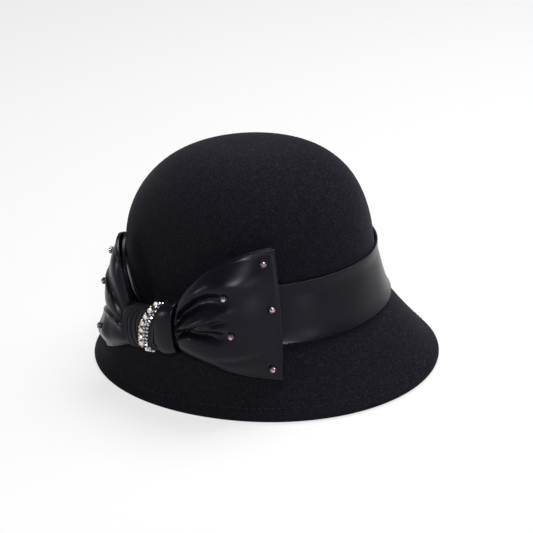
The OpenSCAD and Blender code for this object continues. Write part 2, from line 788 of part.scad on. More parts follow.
module loop_crystals(loop, spots)
    for (s = spots) on_loop(loop, s, stone_lift) stone(loop_crystal_d, loop_crystal_d * stone_share);

module front_loop_crystals() color([0.9, 0.88, 0.86]) loop_crystals(front_loop, front_spots);

module front_loop_settings() color([0.6, 0.6, 0.62]) loop_settings(front_loop, front_spots);

module back_loop_crystals() color([0.9, 0.88, 0.86]) loop_crystals(back_loop, back_spots);

module back_loop_settings() color([0.6, 0.6, 0.62]) loop_settings(back_loop, back_spots);

felt_hood();
brim_wire();
hem_stitching();
sweatband();
sweatband_stitching();
hat_band();
band_join_stitches();
bow_backing();
bow_tack_stitches();
bow_front_loop();
bow_back_loop();
gather_thread();
knot_wrap();
knot_cuff();
trim_tape();
trim_crystals();
trim_gold_beads();
trim_silver_beads();
front_loop_crystals();
front_loop_settings();
back_loop_crystals();
back_loop_settings();
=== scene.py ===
# Black wool felt hat with a rounded crown, a turned-down brim, a folded leather-look band and a
# large bow with a crystal trim, dressed around its solid model.
# Lengths are millimetres until a mesh is made, and metres from there on.
import math

import bmesh
import bpy
import numpy as np
from mathutils import Matrix, Vector


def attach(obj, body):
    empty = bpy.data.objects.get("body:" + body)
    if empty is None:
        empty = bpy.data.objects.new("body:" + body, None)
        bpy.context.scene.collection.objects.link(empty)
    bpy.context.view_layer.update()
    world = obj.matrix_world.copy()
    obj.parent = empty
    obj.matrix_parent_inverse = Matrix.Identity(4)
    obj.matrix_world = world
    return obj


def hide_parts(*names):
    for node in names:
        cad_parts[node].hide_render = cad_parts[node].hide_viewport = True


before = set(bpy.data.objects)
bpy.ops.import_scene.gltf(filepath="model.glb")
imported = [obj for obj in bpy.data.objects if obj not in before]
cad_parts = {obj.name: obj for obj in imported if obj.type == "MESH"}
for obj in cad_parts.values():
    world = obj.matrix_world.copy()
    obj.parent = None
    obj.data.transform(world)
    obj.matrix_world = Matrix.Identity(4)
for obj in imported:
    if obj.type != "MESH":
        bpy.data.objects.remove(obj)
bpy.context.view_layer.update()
print("frame loaded:", len(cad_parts), "nodes")

mm = 0.001


# sizes of the hat and the curves that follow from them
hat = {
    "headLength": 196.2, "headWidth": 166.2,      # oval inside the sweatband
    "feltThick": 2.2, "sweatThick": 0.8, "sweatGap": 0.3,
    "crownHeight": 116.5, "crownSide": 33.4, "crownTaper": 0.216,
    "domeFullness": 2.11, "domeShoulder": 3.0, "crownForward": 6.8,
    "brimFront": 36.0, "brimSide": 18.5, "brimBack": 26.0, "brimDrop": 49.6,
    "reachPower": 1.127, "dropPower": 0.907,
    "hemWidth": 13.0, "hemFlat": 12.0, "wireD": 1.4, "wirePlay": 0.1,
    "stitchInset": 10.0, "stitchPitch": 4.7,
    "bandHeight": 42.4, "bandThick": 1.6, "bandGap": 0.4, "bandFollow": 0.97, "bandLift": 0.3,
    "bandPinch": 24.0, "bandGather": 44.0, "bandHold": 12.0,
}
felt, drop, crownHigh = hat["feltThick"], hat["brimDrop"], hat["crownHeight"]
hemFlat = math.radians(hat["hemFlat"])
feltA, feltB = (hat[side] / 2 + hat["sweatThick"] + hat["sweatGap"] + felt
                for side in ("headLength", "headWidth"))
bandOut = hat["bandGap"] + hat["bandThick"]
bandA, bandB = feltA + bandOut, feltB + bandOut
foldR = felt + hat["wireD"] / 2 + hat["wirePlay"]


def mix(a, b, k):
    return a + (b - a) * k


def smooth(k):
    k = np.clip(k, 0, 1)
    return k * k * (3 - 2 * k)


def bell(x, wide):
    return np.exp(-(x / wide) ** 2)


def together(*parts):
    # points from their coordinates, any of which may be one number for all
    return np.stack(np.broadcast_arrays(*parts), -1)


def around(th, z, off):
    # a point at an angle round the hat, a height above the break, a distance out
    t = np.radians(th)
    return together((bandB + off) * np.sin(t), -(bandA + off) * np.cos(t), drop + z)


def domeShare(z, high):
    u = np.clip((z - hat["crownSide"]) / (high - hat["crownSide"]), 0, 1)
    return np.maximum(0, 1 - u ** hat["domeFullness"]) ** (1 / hat["domeShoulder"])


def crownAt(th, z, depth):
    t = np.radians(th)
    inset = depth + hat["crownTaper"] * np.minimum(z, hat["crownSide"])
    k = domeShare(z, crownHigh - depth)
    rise = np.maximum(0, z - hat["bandHeight"]) / (crownHigh - hat["bandHeight"])
    lean = hat["crownForward"] * rise ** 1.5
    return together((feltB - inset) * k * np.sin(t), -(feltA - inset) * k * np.cos(t) - lean,
                    drop + z)


def reach(th):
    # the brim's reach swings between its front, its sides and its back
    t = np.radians(th)
    front, side, back = (hat["brim" + k] for k in ("Front", "Side", "Back"))
    return ((front + back) / 4 + side / 2 + (front - back) / 2 * np.cos(t)
            + ((front + back) / 4 - side / 2) * np.cos(2 * t))


def edgeLean(th):
    return hat["dropPower"] * drop, hat["reachPower"] * reach(th)


def edgeSlope(th):
    return np.arctan2(*edgeLean(th))


def brimRun(th):
    return np.hypot(*edgeLean(th))


def brimFace(th, t):
    s = edgeSlope(th)
    r = reach(th) - foldR * (1 - np.sin(s))
    z = drop - foldR * (math.cos(hemFlat) + np.cos(s))
    flare = bandOut * (1 - t) ** 8
    return r * t ** hat["reachPower"] - flare, -z * t ** hat["dropPower"]


def brimAt(th, t, depth):
    # a point across the brim, a depth under its upper face
    a = np.maximum(0.015, np.clip(t, 0, 1) - 0.01)
    (ax, az), (bx, bz) = brimFace(th, a), brimFace(th, np.minimum(1, a + 0.02))
    sink = depth / np.hypot(bx - ax, bz - az)
    x, z = brimFace(th, t)
    return around(th, z - sink * (bx - ax), x + sink * (bz - az))


def foldAt(th, r, angle):
    s = edgeSlope(th)
    x, z = brimFace(th, np.ones_like(s))
    return around(th, z - foldR * np.cos(s) + r * np.sin(angle),
                  x - foldR * np.sin(s) + r * np.cos(angle))


def bandFace(z):
    return -hat["crownTaper"] * hat["bandFollow"] * np.clip(z, 0, hat["crownSide"])


def hatSide(th, z):
    # how far the hat's outside stands out from the band's bottom edge
    t = np.clip(-z / drop, 0, 1) ** (1 / hat["dropPower"])
    onBrim = reach(th) * t ** hat["reachPower"]
    onCrown = ((feltB - hat["crownTaper"] * np.minimum(z, hat["crownSide"]))
               * domeShare(z, crownHigh) - bandB)
    return np.where(z < 0, onBrim, np.where(z < hat["bandHeight"], bandFace(z), onCrown))


def bandTop(turn):
    # height of the band's top edge at a turn from the knot, which draws it down
    k = (np.abs(turn) - hat["bandHold"]) / (hat["bandGather"] - hat["bandHold"])
    return hat["bandHeight"] - hat["bandPinch"] * (1 - smooth(k))


bow = {
    "angle": -108.5, "rise": 11.7, "tilt": 0.17,
    "knotWidth": 46.0, "knotHeight": 33.5, "knotDepth": 20.2, "knotSquare": 2.4,
    "wall": 1.4, "seat": 6.0, "ribbon": 1.3, "plyGap": 0.3, "seatGap": 0.15, "padThick": 0.9,
    "tapeLift": 0.2, "tapeThick": 0.8, "cuffWall": 1.3, "cuffWidth": 13.0, "cuffSlant": 3.5,
    "wrapInset": 7.5, "threadGauge": 0.8, "neckStart": 0.6, "clear": 1.4, "tuck": 6.5,
    "topStart": 2.6, "topPower": 0.76, "lowStart": 1.1, "lowPower": 1.05,
    "bellyAt": -0.74, "bellyWide": 0.27, "lowClose": 0.5, "mouthPleat": 6.4,
}
frontLoop = {"turn": 1, "span": 48.5, "top": 71.3, "dip": 20.6, "puff": 8.5, "fold": 2.5,
             "swing": 0.5, "skew": 0.7, "belly": 0.0, "mouth": 2.4, "close": 0.85, "curl": 0.0}
backLoop = {"turn": -1, "span": 31.0, "top": 65.0, "dip": 21.0, "puff": 5.0, "fold": 5.2,
            "swing": 3.6, "skew": -0.6, "belly": 6.0, "mouth": 1.1, "close": 0.45, "curl": 3.2}
arcMm = (bandA + bow["knotDepth"] / 2) * math.pi / 180
cuffIn = bow["tapeLift"] + bow["tapeThick"] + bow["seatGap"]
cuffGrow = cuffIn + bow["cuffWall"]
knotFront = bow["knotDepth"] - cuffGrow
knotBack = (float(bandFace(bow["rise"] - bow["seat"])) + bow["padThick"] + 2 * bow["seatGap"]
            + cuffGrow)
knotHalf, knotMid = (knotFront - knotBack) / 2, (knotFront + knotBack) / 2
neckRoom = bow["wall"] + 2 * bow["plyGap"] + bow["threadGauge"] + bow["ribbon"] / 2
neckHigh, neckDeep = bow["knotHeight"] / 2 - neckRoom, knotHalf - neckRoom


def signedPow(k, e):
    return np.sign(k) * np.abs(k) ** e


def knotAt(s, angle, grow):
    # a point a distance along the hat, an angle round the knot, a growth off its skin
    a, e = np.radians(angle), 2 / bow["knotSquare"]
    off = knotMid + (knotHalf + grow) * signedPow(np.cos(a), e)
    z = bow["rise"] + bow["tilt"] * s + (bow["knotHeight"] / 2 + grow) * signedPow(np.sin(a), e)
    return around(bow["angle"] + s / arcMm, z, off)


def knotEdge(loop):
    return (bow["knotWidth"] / 2 + 0.5) / arcMm / loop["span"]


def pastKnot(loop, p):
    edge = knotEdge(loop)
    return np.clip((p - edge) / (1 - edge), 0, 1)


def mouthGrow(loop, p):
    # the gathered neck widens from its thread to the knot's edge
    return loop["mouth"] * np.minimum(1, p / knotEdge(loop)) ** 2


def loopReach(loop, v):
    return loop["span"] - loop["swing"] * v * v + loop["skew"] * v


def loopAngle(loop, p, v):
    return bow["angle"] + loop["turn"] * (bow["neckStart"] / arcMm + loopReach(loop, v) * p)


def loopHeight(loop, p, v):
    q = pastKnot(loop, p)
    tilt = loop["turn"] * bow["tilt"] * bow["knotWidth"] / 2
    rise = bow["rise"] + tilt * np.minimum(1, p / knotEdge(loop))
    high = neckHigh + mouthGrow(loop, p)

    def edge(start, end, side):
        return mix(start, end, (1 - (1 - q) ** bow[side + "Start"]) ** bow[side + "Power"])

    return mix(edge(rise - high, -loop["dip"], "low"), edge(rise + high, loop["top"], "top"),
               (v + 1) / 2)


def neckHalf(loop, p, v):
    square = bow["knotSquare"]
    share = np.maximum(0, 1 - np.abs(v) ** square) ** (1 / square)
    return np.maximum((bow["ribbon"] + bow["plyGap"]) / 2, (neckDeep + mouthGrow(loop, p)) * share)


def innerPly(loop, p, v):
    th = loopAngle(loop, p, v)
    low = hatSide(th, loopHeight(loop, p, -1.0 + 0 * v)) + bow["clear"]
    lean = mix(low, -bow["tuck"], (v + 1) / 2) + 0.5 * loop["puff"] * (1 - v * v)
    return np.maximum(mix(knotMid - neckHalf(loop, p, v), lean, pastKnot(loop, p)),
                      hatSide(th, loopHeight(loop, p, v)) + bow["clear"])


def outerPly(loop, p, v):
    q = pastKnot(loop, p)
    inner, belly = innerPly(loop, p, v), loop["belly"] * bell(v - bow["bellyAt"], bow["bellyWide"])
    end = innerPly(loop, np.ones_like(p * v), v) + loop["fold"] + belly
    swell = loop["puff"] * np.sin(np.pi * q ** 0.8) * (
        1 - np.where(v > 0, loop["close"], bow["lowClose"]) * v * v)
    pleat = bow["mouthPleat"] * np.cos(np.radians(v * 450)) * q * (1 - q) ** 2
    return np.maximum(mix(knotMid + neckHalf(loop, p, v), end, q) + swell + pleat,
                      inner + min(loop["fold"], bow["ribbon"] + bow["plyGap"]))


# small tools for meshes
def addObject(name, mesh):
    obj = bpy.data.objects.new(name, mesh)
    bpy.context.scene.collection.objects.link(obj)
    return obj


def skinFaces(rows, cols, closed=False, start=0):
    # quads between rings of points
    faces = []
    for i in range(rows if closed else rows - 1):
        a, b = start + i * cols, start + (i + 1) % rows * cols
        faces += [(a + j, a + (j + 1) % cols, b + (j + 1) % cols, b + j) for j in range(cols)]
    return faces


def addMesh(name, points, faces, flat=False):
    mesh = bpy.data.meshes.new(name)
    mesh.from_pydata((np.asarray(points, float).reshape(-1, 3) * mm).tolist(), [], faces,
                     shade_flat=flat)
    mesh.validate()
    shape = bmesh.new()
    shape.from_mesh(mesh)
    bmesh.ops.recalc_face_normals(shape, faces=shape.faces)
    shape.to_mesh(mesh)
    shape.free()
    return addObject(name, mesh)


def sweep(name, rings, closed=False, flat=False, tips=None):
    # a skin through rings of equal count, drawn to a point in the middle of each end
    rings = np.asarray(rings, float)
    n, m = rings.shape[:2]
    points, faces, last = rings.reshape(-1, 3), skinFaces(n, m, closed), n * m
    if not closed:
        tips = (rings[0].mean(0), rings[-1].mean(0)) if tips is None else tips
        points = np.vstack([points, tips])
        faces += [(last, (j + 1) % m, j) for j in range(m)]
        faces += [(last + 1, last - m + j, last - m + (j + 1) % m) for j in range(m)]
    return addMesh(name, points, faces, flat)


def joinPieces(name, objects):
    # one object from several, keeping their materials
    with bpy.context.temp_override(active_object=objects[0], selected_editable_objects=objects):
        bpy.ops.object.join()
    objects[0].name = objects[0].data.name = name
    return objects[0]


def unit(v):
    v = np.asarray(v, float)
    return v / np.maximum(1e-12, np.linalg.norm(v, axis=-1, keepdims=True))


def runAlong(places):
    # distance run along a line of points
    return np.concatenate([[0], np.cumsum(np.linalg.norm(np.diff(places, axis=0), axis=1))])


def spun(r, side, z, t):
    # a point at a radius and a step sideways, turned round the upright axis
    return (r * math.cos(t) - side * math.sin(t), r * math.sin(t) + side * math.cos(t), z)


def evenTurns(count):
    return np.radians(np.arange(count) * 360 / count)


def dress(piece, material, slotName, *nodes):
    # finish, place on the body and stand for the plain solids
    piece.data.materials.clear()
    piece.data.materials.append(material)
    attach(piece, "root")
    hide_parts(*nodes)
    return piece


# small tools for node trees
def feed(socket, value):
    # a node or an output is linked, anything else is set
    if isinstance(value, bpy.types.Node):
        value = value.outputs[0]
    if isinstance(value, bpy.types.NodeSocket):
        socket.id_data.links.new(value, socket)
    else:
        socket.default_value = value


def setNode(node, **values):
    # inputs by name, with _ for a space, and the node's own settings
    for label, value in values.items():
        socket = node.inputs.get(label.replace("_", " "))
        if socket:
            feed(socket, value)
        else:
            setattr(node, label, value)
    return node


def nodeOf(tree, kind, **values):
    return setNode(tree.nodes.new(kind), **values)


def calc(tree, operation, a, b):
    node = nodeOf(tree, "ShaderNodeMath", operation=operation)
    feed(node.inputs[0], a)
    feed(node.inputs[1], b)
    return node


socketKinds = {"Guide": "Geometry", "Result": "Geometry", "Part": "Object", "Finish": "Material",
               "Vector": "Vector"}


def startGroup(name, kind, inputs, outputs):
    # a node group with named sockets, which are plain numbers unless their name says otherwise
    tree = bpy.data.node_groups.new(name, kind + "NodeTree")
    for way, labels in (("INPUT", inputs), ("OUTPUT", outputs)):
        for label in labels:
            tree.interface.new_socket(label, in_out=way, socket_type="NodeSocket"
                                      + socketKinds.get(label, "Float"))
    return tree, tree.nodes.new("NodeGroupInput").outputs, tree.nodes.new("NodeGroupOutput")


# Geometry Nodes that repeat a part along guide points
def named(tree, label, kind="FLOAT_VECTOR"):
    node = nodeOf(tree, "GeometryNodeInputNamedAttribute", data_type=kind, Name=label)
    return node.outputs["Attribute"]


def growTree(name, makePart, inputs):
    # a copy of the part on each guide point, its x axis along "along", its z axis towards "face"
    tree, source, output = startGroup(name, "Geometry", ("Guide", *inputs, "Finish"), ["Result"])
    align = "FunctionNodeAlignRotationToVector"
    turn = nodeOf(tree, align, axis="X", pivot_axis="AUTO", Vector=named(tree, "along"))
    turn = nodeOf(tree, align, axis="Z", pivot_axis="X", Vector=named(tree, "face"), Rotation=turn)
    copies = nodeOf(tree, "GeometryNodeInstanceOnPoints", Points=source["Guide"], Rotation=turn,
                    Instance=makePart(tree, source), Scale=named(tree, "size", "FLOAT"))
    real = nodeOf(tree, "GeometryNodeRealizeInstances", Geometry=copies)
    setNode(output, Result=nodeOf(
        tree, "GeometryNodeSetMaterial", Geometry=real, Material=source["Finish"]))
    return tree


def stitchPart(tree, source):
    # a short arch of thread that dips into the cloth at both ends
    ends = [nodeOf(tree, "ShaderNodeCombineXYZ", X=calc(tree, "MULTIPLY", source["Length"], k))
            for k in (-0.5, 0.5)]
    top = nodeOf(tree, "ShaderNodeCombineXYZ", Z=source["Arch"])
    arc = nodeOf(tree, "GeometryNodeCurveQuadraticBezier", Resolution=7, Start=ends[0],
                 Middle=top, End=ends[1])
    ring = nodeOf(tree, "GeometryNodeCurvePrimitiveCircle", Resolution=6, Radius=source["Thread"])
    return nodeOf(tree, "GeometryNodeCurveToMesh", Curve=arc, Profile_Curve=ring, Fill_Caps=True)


def objectPart(tree, source):
    return nodeOf(tree, "GeometryNodeObjectInfo", Object=source["Part"]).outputs["Geometry"]


def addGuide(name, places, along, face, size=1.0):
    # points with the directions and the size that a tree reads
    mesh = bpy.data.meshes.new(name)
    mesh.from_pydata((np.asarray(places, float) * mm).tolist(), [], [])
    for label, values in (("along", along), ("face", face)):
        store = mesh.attributes.new(label, "FLOAT_VECTOR", "POINT")
        store.data.foreach_set("vector", unit(values).reshape(-1))
    store = mesh.attributes.new("size", "FLOAT", "POINT")
    store.data.foreach_set("value", np.broadcast_to(size, len(mesh.vertices)).astype(float))
    return addObject(name, mesh)


def grow(guide, tree, values):
    # runs a tree on its guide and keeps the result as a plain mesh
    modifier = guide.modifiers.new(tree.name, "NODES")
    modifier.node_group = tree
    for item in tree.interface.items_tree:
        if item.in_out == "INPUT" and item.name in values:
            modifier[item.identifier] = values[item.name]
    graph = bpy.context.evaluated_depsgraph_get()
    mesh = bpy.data.meshes.new_from_object(guide.evaluated_get(graph))
    guide.modifiers.remove(modifier)
    guide.data = mesh
    for label in ("along", "face", "size"):
        if label in mesh.attributes:
            mesh.attributes.remove(mesh.attributes[label])
    return guide


threadStitches = growTree("threadStitches", stitchPart, ("Length", "Thread", "Arch"))
setParts = growTree("setParts", objectPart, ["Part"])


# finishes
def noiseAt(tree, vector, scale, detail=2.0, rough=0.5, bend=0.0):
    return nodeOf(tree, "ShaderNodeTexNoise", Vector=vector, Scale=scale, Detail=detail,
                  Roughness=rough, Distortion=bend)


def spread(tree, value, fromLow, fromHigh, toLow, toHigh):
    return nodeOf(tree, "ShaderNodeMapRange", Value=value, From_Min=fromLow, From_Max=fromHigh,
                  To_Min=toLow, To_Max=toHigh)


def mixColors(tree, share, low, high, way="MIX"):
    return nodeOf(tree, "ShaderNodeMix", data_type="RGBA", blend_type=way, Factor=share, A=low,
                  B=high).outputs["Result"]


def matFibres():
    # short fibres lying every way: noises drawn out along several directions, the strongest wins
    tree, source, output = startGroup("mattedFibres", "Shader", ("Vector", "Fineness"),
                                      ("Fibres", "Clumps"))
    strands = 0.0
    for turn in ((0, 0, 0), (0.9, 0.3, 1.0), (1.5, 1.1, 2.2), (0.5, 2.0, 0.4)):
        place = nodeOf(tree, "ShaderNodeMapping", Vector=source["Vector"], Rotation=turn,
                       Scale=(0.16, 1.0, 1.0))
        strands = calc(tree, "MAXIMUM", strands, noiseAt(tree, place, source["Fineness"], 1.0))
    setNode(output, Fibres=strands, Clumps=noiseAt(tree, source["Vector"], 260.0, 3.0, 0.6))
    return tree


def fineGrain():
    # pebbled grain of a coated cloth with faint long creases
    tree, source, output = startGroup("fineGrain", "Shader", ("Vector", "Pebble", "Crease"),
                                      ("Height", "Patches"))
    cells = nodeOf(tree, "ShaderNodeTexVoronoi", feature="SMOOTH_F1", Vector=source["Vector"],
                   Scale=source["Pebble"])
    crease = noiseAt(tree, source["Vector"], source["Crease"], 3.0, 0.55, 0.6)
    setNode(output, Height=calc(tree, "ADD", calc(tree, "MULTIPLY", cells, 0.25), crease),
            Patches=noiseAt(tree, source["Vector"], 60.0))
    return tree


mattedFibres = matFibres()
coatGrain = fineGrain()


# each pattern gives what the tones, the roughness and the bump follow
def woolPattern(tree, place, look):
    wool = nodeOf(tree, "ShaderNodeGroup", node_tree=mattedFibres, Vector=place,
                  Fineness=look["fineness"]).outputs
    strong = calc(tree, "POWER", spread(tree, wool["Fibres"], *look["fibres"]), look["sharp"])
    tone = calc(tree, "MULTIPLY", strong, spread(tree, wool["Clumps"], *look["clumps"]))
    height = calc(tree, "MULTIPLY", wool["Clumps"], look["clumpHeight"])
    return tone, wool["Clumps"], calc(tree, "ADD", wool["Fibres"], height)


def coatPattern(tree, place, look):
    grain = nodeOf(tree, "ShaderNodeGroup", node_tree=coatGrain, Vector=place,
                   Pebble=look["pebble"], Crease=look["crease"]).outputs
    return grain["Patches"], grain["Patches"], grain["Height"]


def twistPattern(tree, place, look):
    # plies twisted along the thread show as slanting bands
    twist = nodeOf(tree, "ShaderNodeTexWave", bands_direction="DIAGONAL", Vector=place,
                   Scale=look["twist"], Distortion=look["waver"]).outputs["Fac"]
    return twist, twist, twist


def ribPattern(tree, place, look):
    # cross ribs every 0.9 mm, read from the band's own map
    ribs = nodeOf(tree, "ShaderNodeTexWave", wave_profile="SIN", Scale=look["ribs"],
                  Vector=nodeOf(tree, "ShaderNodeUVMap", uv_map="weave")).outputs["Fac"]
    fuzz = noiseAt(tree, place, look["fuzz"])
    tone = calc(tree, "MULTIPLY", ribs, spread(tree, fuzz, *look["fuzzShade"]))
    height = calc(tree, "MULTIPLY", fuzz, look["fuzzHeight"])
    return tone, fuzz, calc(tree, "ADD", ribs, height)


def tarnishPattern(tree, place, look):
    patches = noiseAt(tree, place, look["patches"], 3.0, 0.6)
    return patches, patches, None


def startMaterial(name, **surface):
    material = bpy.data.materials.new(name)
    material.use_nodes = True
    tree = material.node_tree
    tree.nodes.clear()
    shader = nodeOf(tree, "ShaderNodeBsdfPrincipled", **surface)
    nodeOf(tree, "ShaderNodeOutputMaterial", Surface=shader)
    return material, tree, shader


def makeFinish(name, pattern, look):
    material, tree, shader = startMaterial(name, **look["surface"])
    place = tree.nodes.new("ShaderNodeTexCoord").outputs["Object"]
    tone, patches, height = pattern(tree, place, look)
    setNode(shader, Base_Color=mixColors(tree, tone, (*look["deep"], 1), (*look["lit"], 1)),
            Roughness=spread(tree, patches, *look["rough"]))
    if height:
        strength, distance = look["bump"]
        setNode(shader, Normal=nodeOf(tree, "ShaderNodeBump", Strength=strength,
                                      Distance=distance, Height=height))
    return material


def threadLook(color):
    return {"deep": color, "lit": [3.0 * c for c in color], "twist": 900.0, "waver": 3.0,
            "rough": (0, 1, 0.8, 0.55), "bump": (0.5, 0.0001),
            "surface": {"Sheen_Weight": 0.05, "Sheen_Roughness": 0.5, "Specular_IOR_Level": 0.15}}


def makeMetal(name, lit, deep, rough):
    # polished metal with faint tarnish in patches
    return makeFinish(name, tarnishPattern, {
        "deep": deep, "lit": lit, "patches": 900.0, "rough": (0.3, 0.7, rough * 1.4, rough * 0.7),
        "surface": {"Metallic": 1.0}})


def makeCrystal(name, shade, foil):
    # each facet carries a painted glint colour: white, amber and pink for the fire of cut glass
    # over foil, grey and near-black for painted reflections of the dark hat
    material, tree, shader = startMaterial(name, Metallic=foil, Coat_Weight=1.0,
                                           Coat_Roughness=0.02)
    # the painted glint colour of each facet, times the stone's own colour
    glintPaint = nodeOf(tree, "ShaderNodeAttribute", attribute_name="facetGlintPaint").outputs["Color"]
    depth = noiseAt(tree, tree.nodes.new("ShaderNodeTexCoord").outputs["Object"], 1500.0, 1.0)
    setNode(shader, Base_Color=mixColors(tree, 1.0, glintPaint, (*shade, 1), "MULTIPLY"),
            Roughness=spread(tree, depth, 0.3, 0.7, 0.04, 0.12))
    return material


woolFelt = makeFinish("woolFelt", woolPattern, {
    "deep": (0.0058, 0.0055, 0.0080), "lit": (0.0238, 0.0227, 0.0303), "fineness": 1350.0,
    "fibres": (0.52, 0.80, 0.0, 1.0), "sharp": 1.6, "clumps": (0.35, 0.72, 0.55, 1.25),
    "clumpHeight": 0.6, "rough": (0.3, 0.7, 0.88, 1.0), "bump": (0.6, 0.00025),
    "surface": {"Sheen_Weight": 0.06, "Sheen_Roughness": 0.45,
                "Sheen_Tint": (0.78, 0.76, 0.86, 1), "Specular_IOR_Level": 0.01}})
softLeather = makeFinish("softLeather", coatPattern, {
    "deep": (0.0018, 0.0016, 0.0034), "lit": (0.0034, 0.0030, 0.0058), "pebble": 2600.0,
    "crease": 140.0, "rough": (0.3, 0.7, 0.265, 0.345), "bump": (0.16, 0.00018),
    "surface": {"Specular_IOR_Level": 0.19, "Specular_Tint": (0.88, 0.85, 1.0, 1)}})
ribbedRibbon = makeFinish("ribbedRibbon", ribPattern, {
    "deep": (0.006, 0.006, 0.007), "lit": (0.028, 0.027, 0.031), "ribs": 0.35, "fuzz": 2200.0,
    "fuzzShade": (0.3, 0.7, 0.6, 1.0), "fuzzHeight": 0.3, "rough": (0.3, 0.7, 0.62, 0.8),
    "bump": (0.8, 0.00025),
    "surface": {"Sheen_Weight": 0.25, "Sheen_Roughness": 0.4, "Specular_IOR_Level": 0.3}})
sewingThread = makeFinish("sewingThread", twistPattern, threadLook((0.0019, 0.0019, 0.0027)))
trimMesh = makeFinish("trimMesh", twistPattern, threadLook((0.016, 0.016, 0.019)))
steelWire = makeMetal("steelWire", (0.58, 0.58, 0.60), (0.40, 0.39, 0.38), 0.25)
goldMetal = makeMetal("goldMetal", (0.90, 0.66, 0.30), (0.62, 0.38, 0.14), 0.14)
silverMetal = makeMetal("silverMetal", (0.72, 0.72, 0.75), (0.30, 0.30, 0.34), 0.10)
darkMetal = makeMetal("darkMetal", (0.10, 0.09, 0.10), (0.04, 0.035, 0.045), 0.22)
crystalBright = makeCrystal("crystalBright", (1.0, 1.0, 1.0), 0.05)
crystalSmoky = makeCrystal("crystalSmoky", (0.50, 0.38, 0.45), 0.85)
print("finishes made")


# felt hood
hoodLook = {"turns": 240, "crownRows": 46, "sideRows": 12, "brimRows": 40, "innerRows": 24,
            "foldRows": 10, "foldGap": 0.3, "wave": 0.35, "dent": 0.22, "dentWide": 0.9}
angles = np.arange(hoodLook["turns"]) * 360 / hoodLook["turns"]


def handShaped(th, z):
    # slow unevenness of a shaped hood, with none under the band
    t = np.radians(th)
    wave = (np.sin(2 * t + 0.6) * 0.4 + np.sin(5 * t + 2.1 + 0.02 * z) * 0.35
            + np.sin(9 * t - 0.8 - 0.05 * z) * 0.25)
    clear = (smooth((z - 48) / 22) * smooth((100 - z) / 14)
             + smooth((-z - 8) / 12) * smooth((z + 42) / 8))
    return hoodLook["wave"] * wave * clear


def domeLevels(rows, high):
    turn = np.radians(90 * (np.arange(1, rows + 1) / rows) ** 1.35)
    return mix(hat["crownSide"], high, np.cos(turn) ** (2 / hat["domeFullness"]))


def hoodOutside(th):
    # lines of the outer face, from the crown's top to the brim's edge
    side, brim = hoodLook["sideRows"], hoodLook["brimRows"]
    rows = [crownAt(th, z, -handShaped(th, z))
            for z in domeLevels(hoodLook["crownRows"], crownHigh)]
    rows += [crownAt(th, hat["crownSide"] * i / side, 0.0) for i in range(side - 1, 0, -1)]
    seam = 1 - (hat["stitchInset"] - foldR) / brimRun(th)
    for t in (np.arange(brim) / brim) ** 1.1:
        dent = hoodLook["dent"] * bell((t - seam) * brimRun(th), hoodLook["dentWide"])
        rows.append(brimAt(th, np.full_like(th, t), dent - handShaped(th, -drop * t)))
    return rows


def hoodFold(th):
    # round the wire, along the hem's inside and back into the pocket
    top, quarter, n = np.pi / 2 - edgeSlope(th), np.pi / 2, hoodLook["foldRows"]
    hem, ply = hat["hemWidth"] / brimRun(th), felt + hoodLook["foldGap"]
    rows = [foldAt(th, foldR, mix(top, hemFlat - quarter, i / n)) for i in range(n + 1)]
    rows += [foldAt(th, foldR, mix(-quarter - hemFlat, top - np.pi, i / n)) for i in range(n + 1)]
    for share, depth in ((0.2, felt), (0.45, felt), (0.7, felt), (0.9, felt), (0.985, felt - 0.25),
                         (1.0, felt * 0.6), (1.0, 0.3), (0.98, 0), (0.7, 0), (0.4, 0)):
        rows.append(brimAt(th, 1 - hem * share, ply + depth))
    return rows + [foldAt(th, foldR - felt, mix(top - np.pi, top, i / 5)) for i in range(6)]


def hoodInside(th):
    m = hoodLook["innerRows"]
    rows = [brimAt(th, np.full_like(th, ((i - 0.5) / m) ** 1.2), felt) for i in range(m, 0, -1)]
    rows += [crownAt(th, hat["crownSide"] * i / 8, felt) for i in range(1, 8)]
    return rows + [crownAt(th, z, felt) for z in domeLevels(m, crownHigh - felt)[::-1]]


feltHood = dress(
    sweep("feltHood", hoodOutside(angles) + hoodFold(angles) + hoodInside(angles),
          tips=[crownAt(0.0, crownHigh, 0.0), crownAt(0.0, crownHigh - felt, felt)]),
    woolFelt, "wool_felt", "felt_hood")
print("felt hood done")


# rows of hand-set stitches
stitchLook = {"thread": 0.25, "arch": 0.5, "hem": 2.7, "hemShift": 1.1, "sweatband": 3.6,
              "tack": 3.4, "tackPitch": 3.0, "tackShare": 0.6, "tackAt": 50.3, "joinTop": 3.1,
              "joinPitch": 2.6, "uneven": 0.03}


def hemLine(th, depth):
    return brimAt(th, 1 - (hat["stitchInset"] - foldR) / brimRun(th), depth)


def evenAngles(line, pitch):
    # angles spaced evenly along a closed line
    th = np.linspace(0, 360, 1441)
    run = runAlong(line(th, 0.0))
    count = int(round(run[-1] / pitch))
    return np.interp(np.arange(count) * run[-1] / count, run, th)


def stitchRow(name, line, th, depth, outward, length, seed):
    # stitches along a line at a depth in the cloth, with the small scatter of a needle
    rng = np.random.default_rng(seed)
    th = th + rng.normal(0, stitchLook["uneven"], len(th))
    places, ahead = line(th, depth), line(th + 0.2, depth)
    face = line(th, depth + outward * 0.5) - places
    along = unit(ahead - places) + rng.normal(0, stitchLook["uneven"], places.shape)
    guide = addGuide(name, places, along, face, rng.uniform(0.94, 1.04, len(th)))
    return grow(guide, threadStitches, {
        "Length": stitchLook[length] * mm, "Thread": stitchLook["thread"] * mm,
        "Arch": stitchLook["arch"] * mm, "Finish": sewingThread})


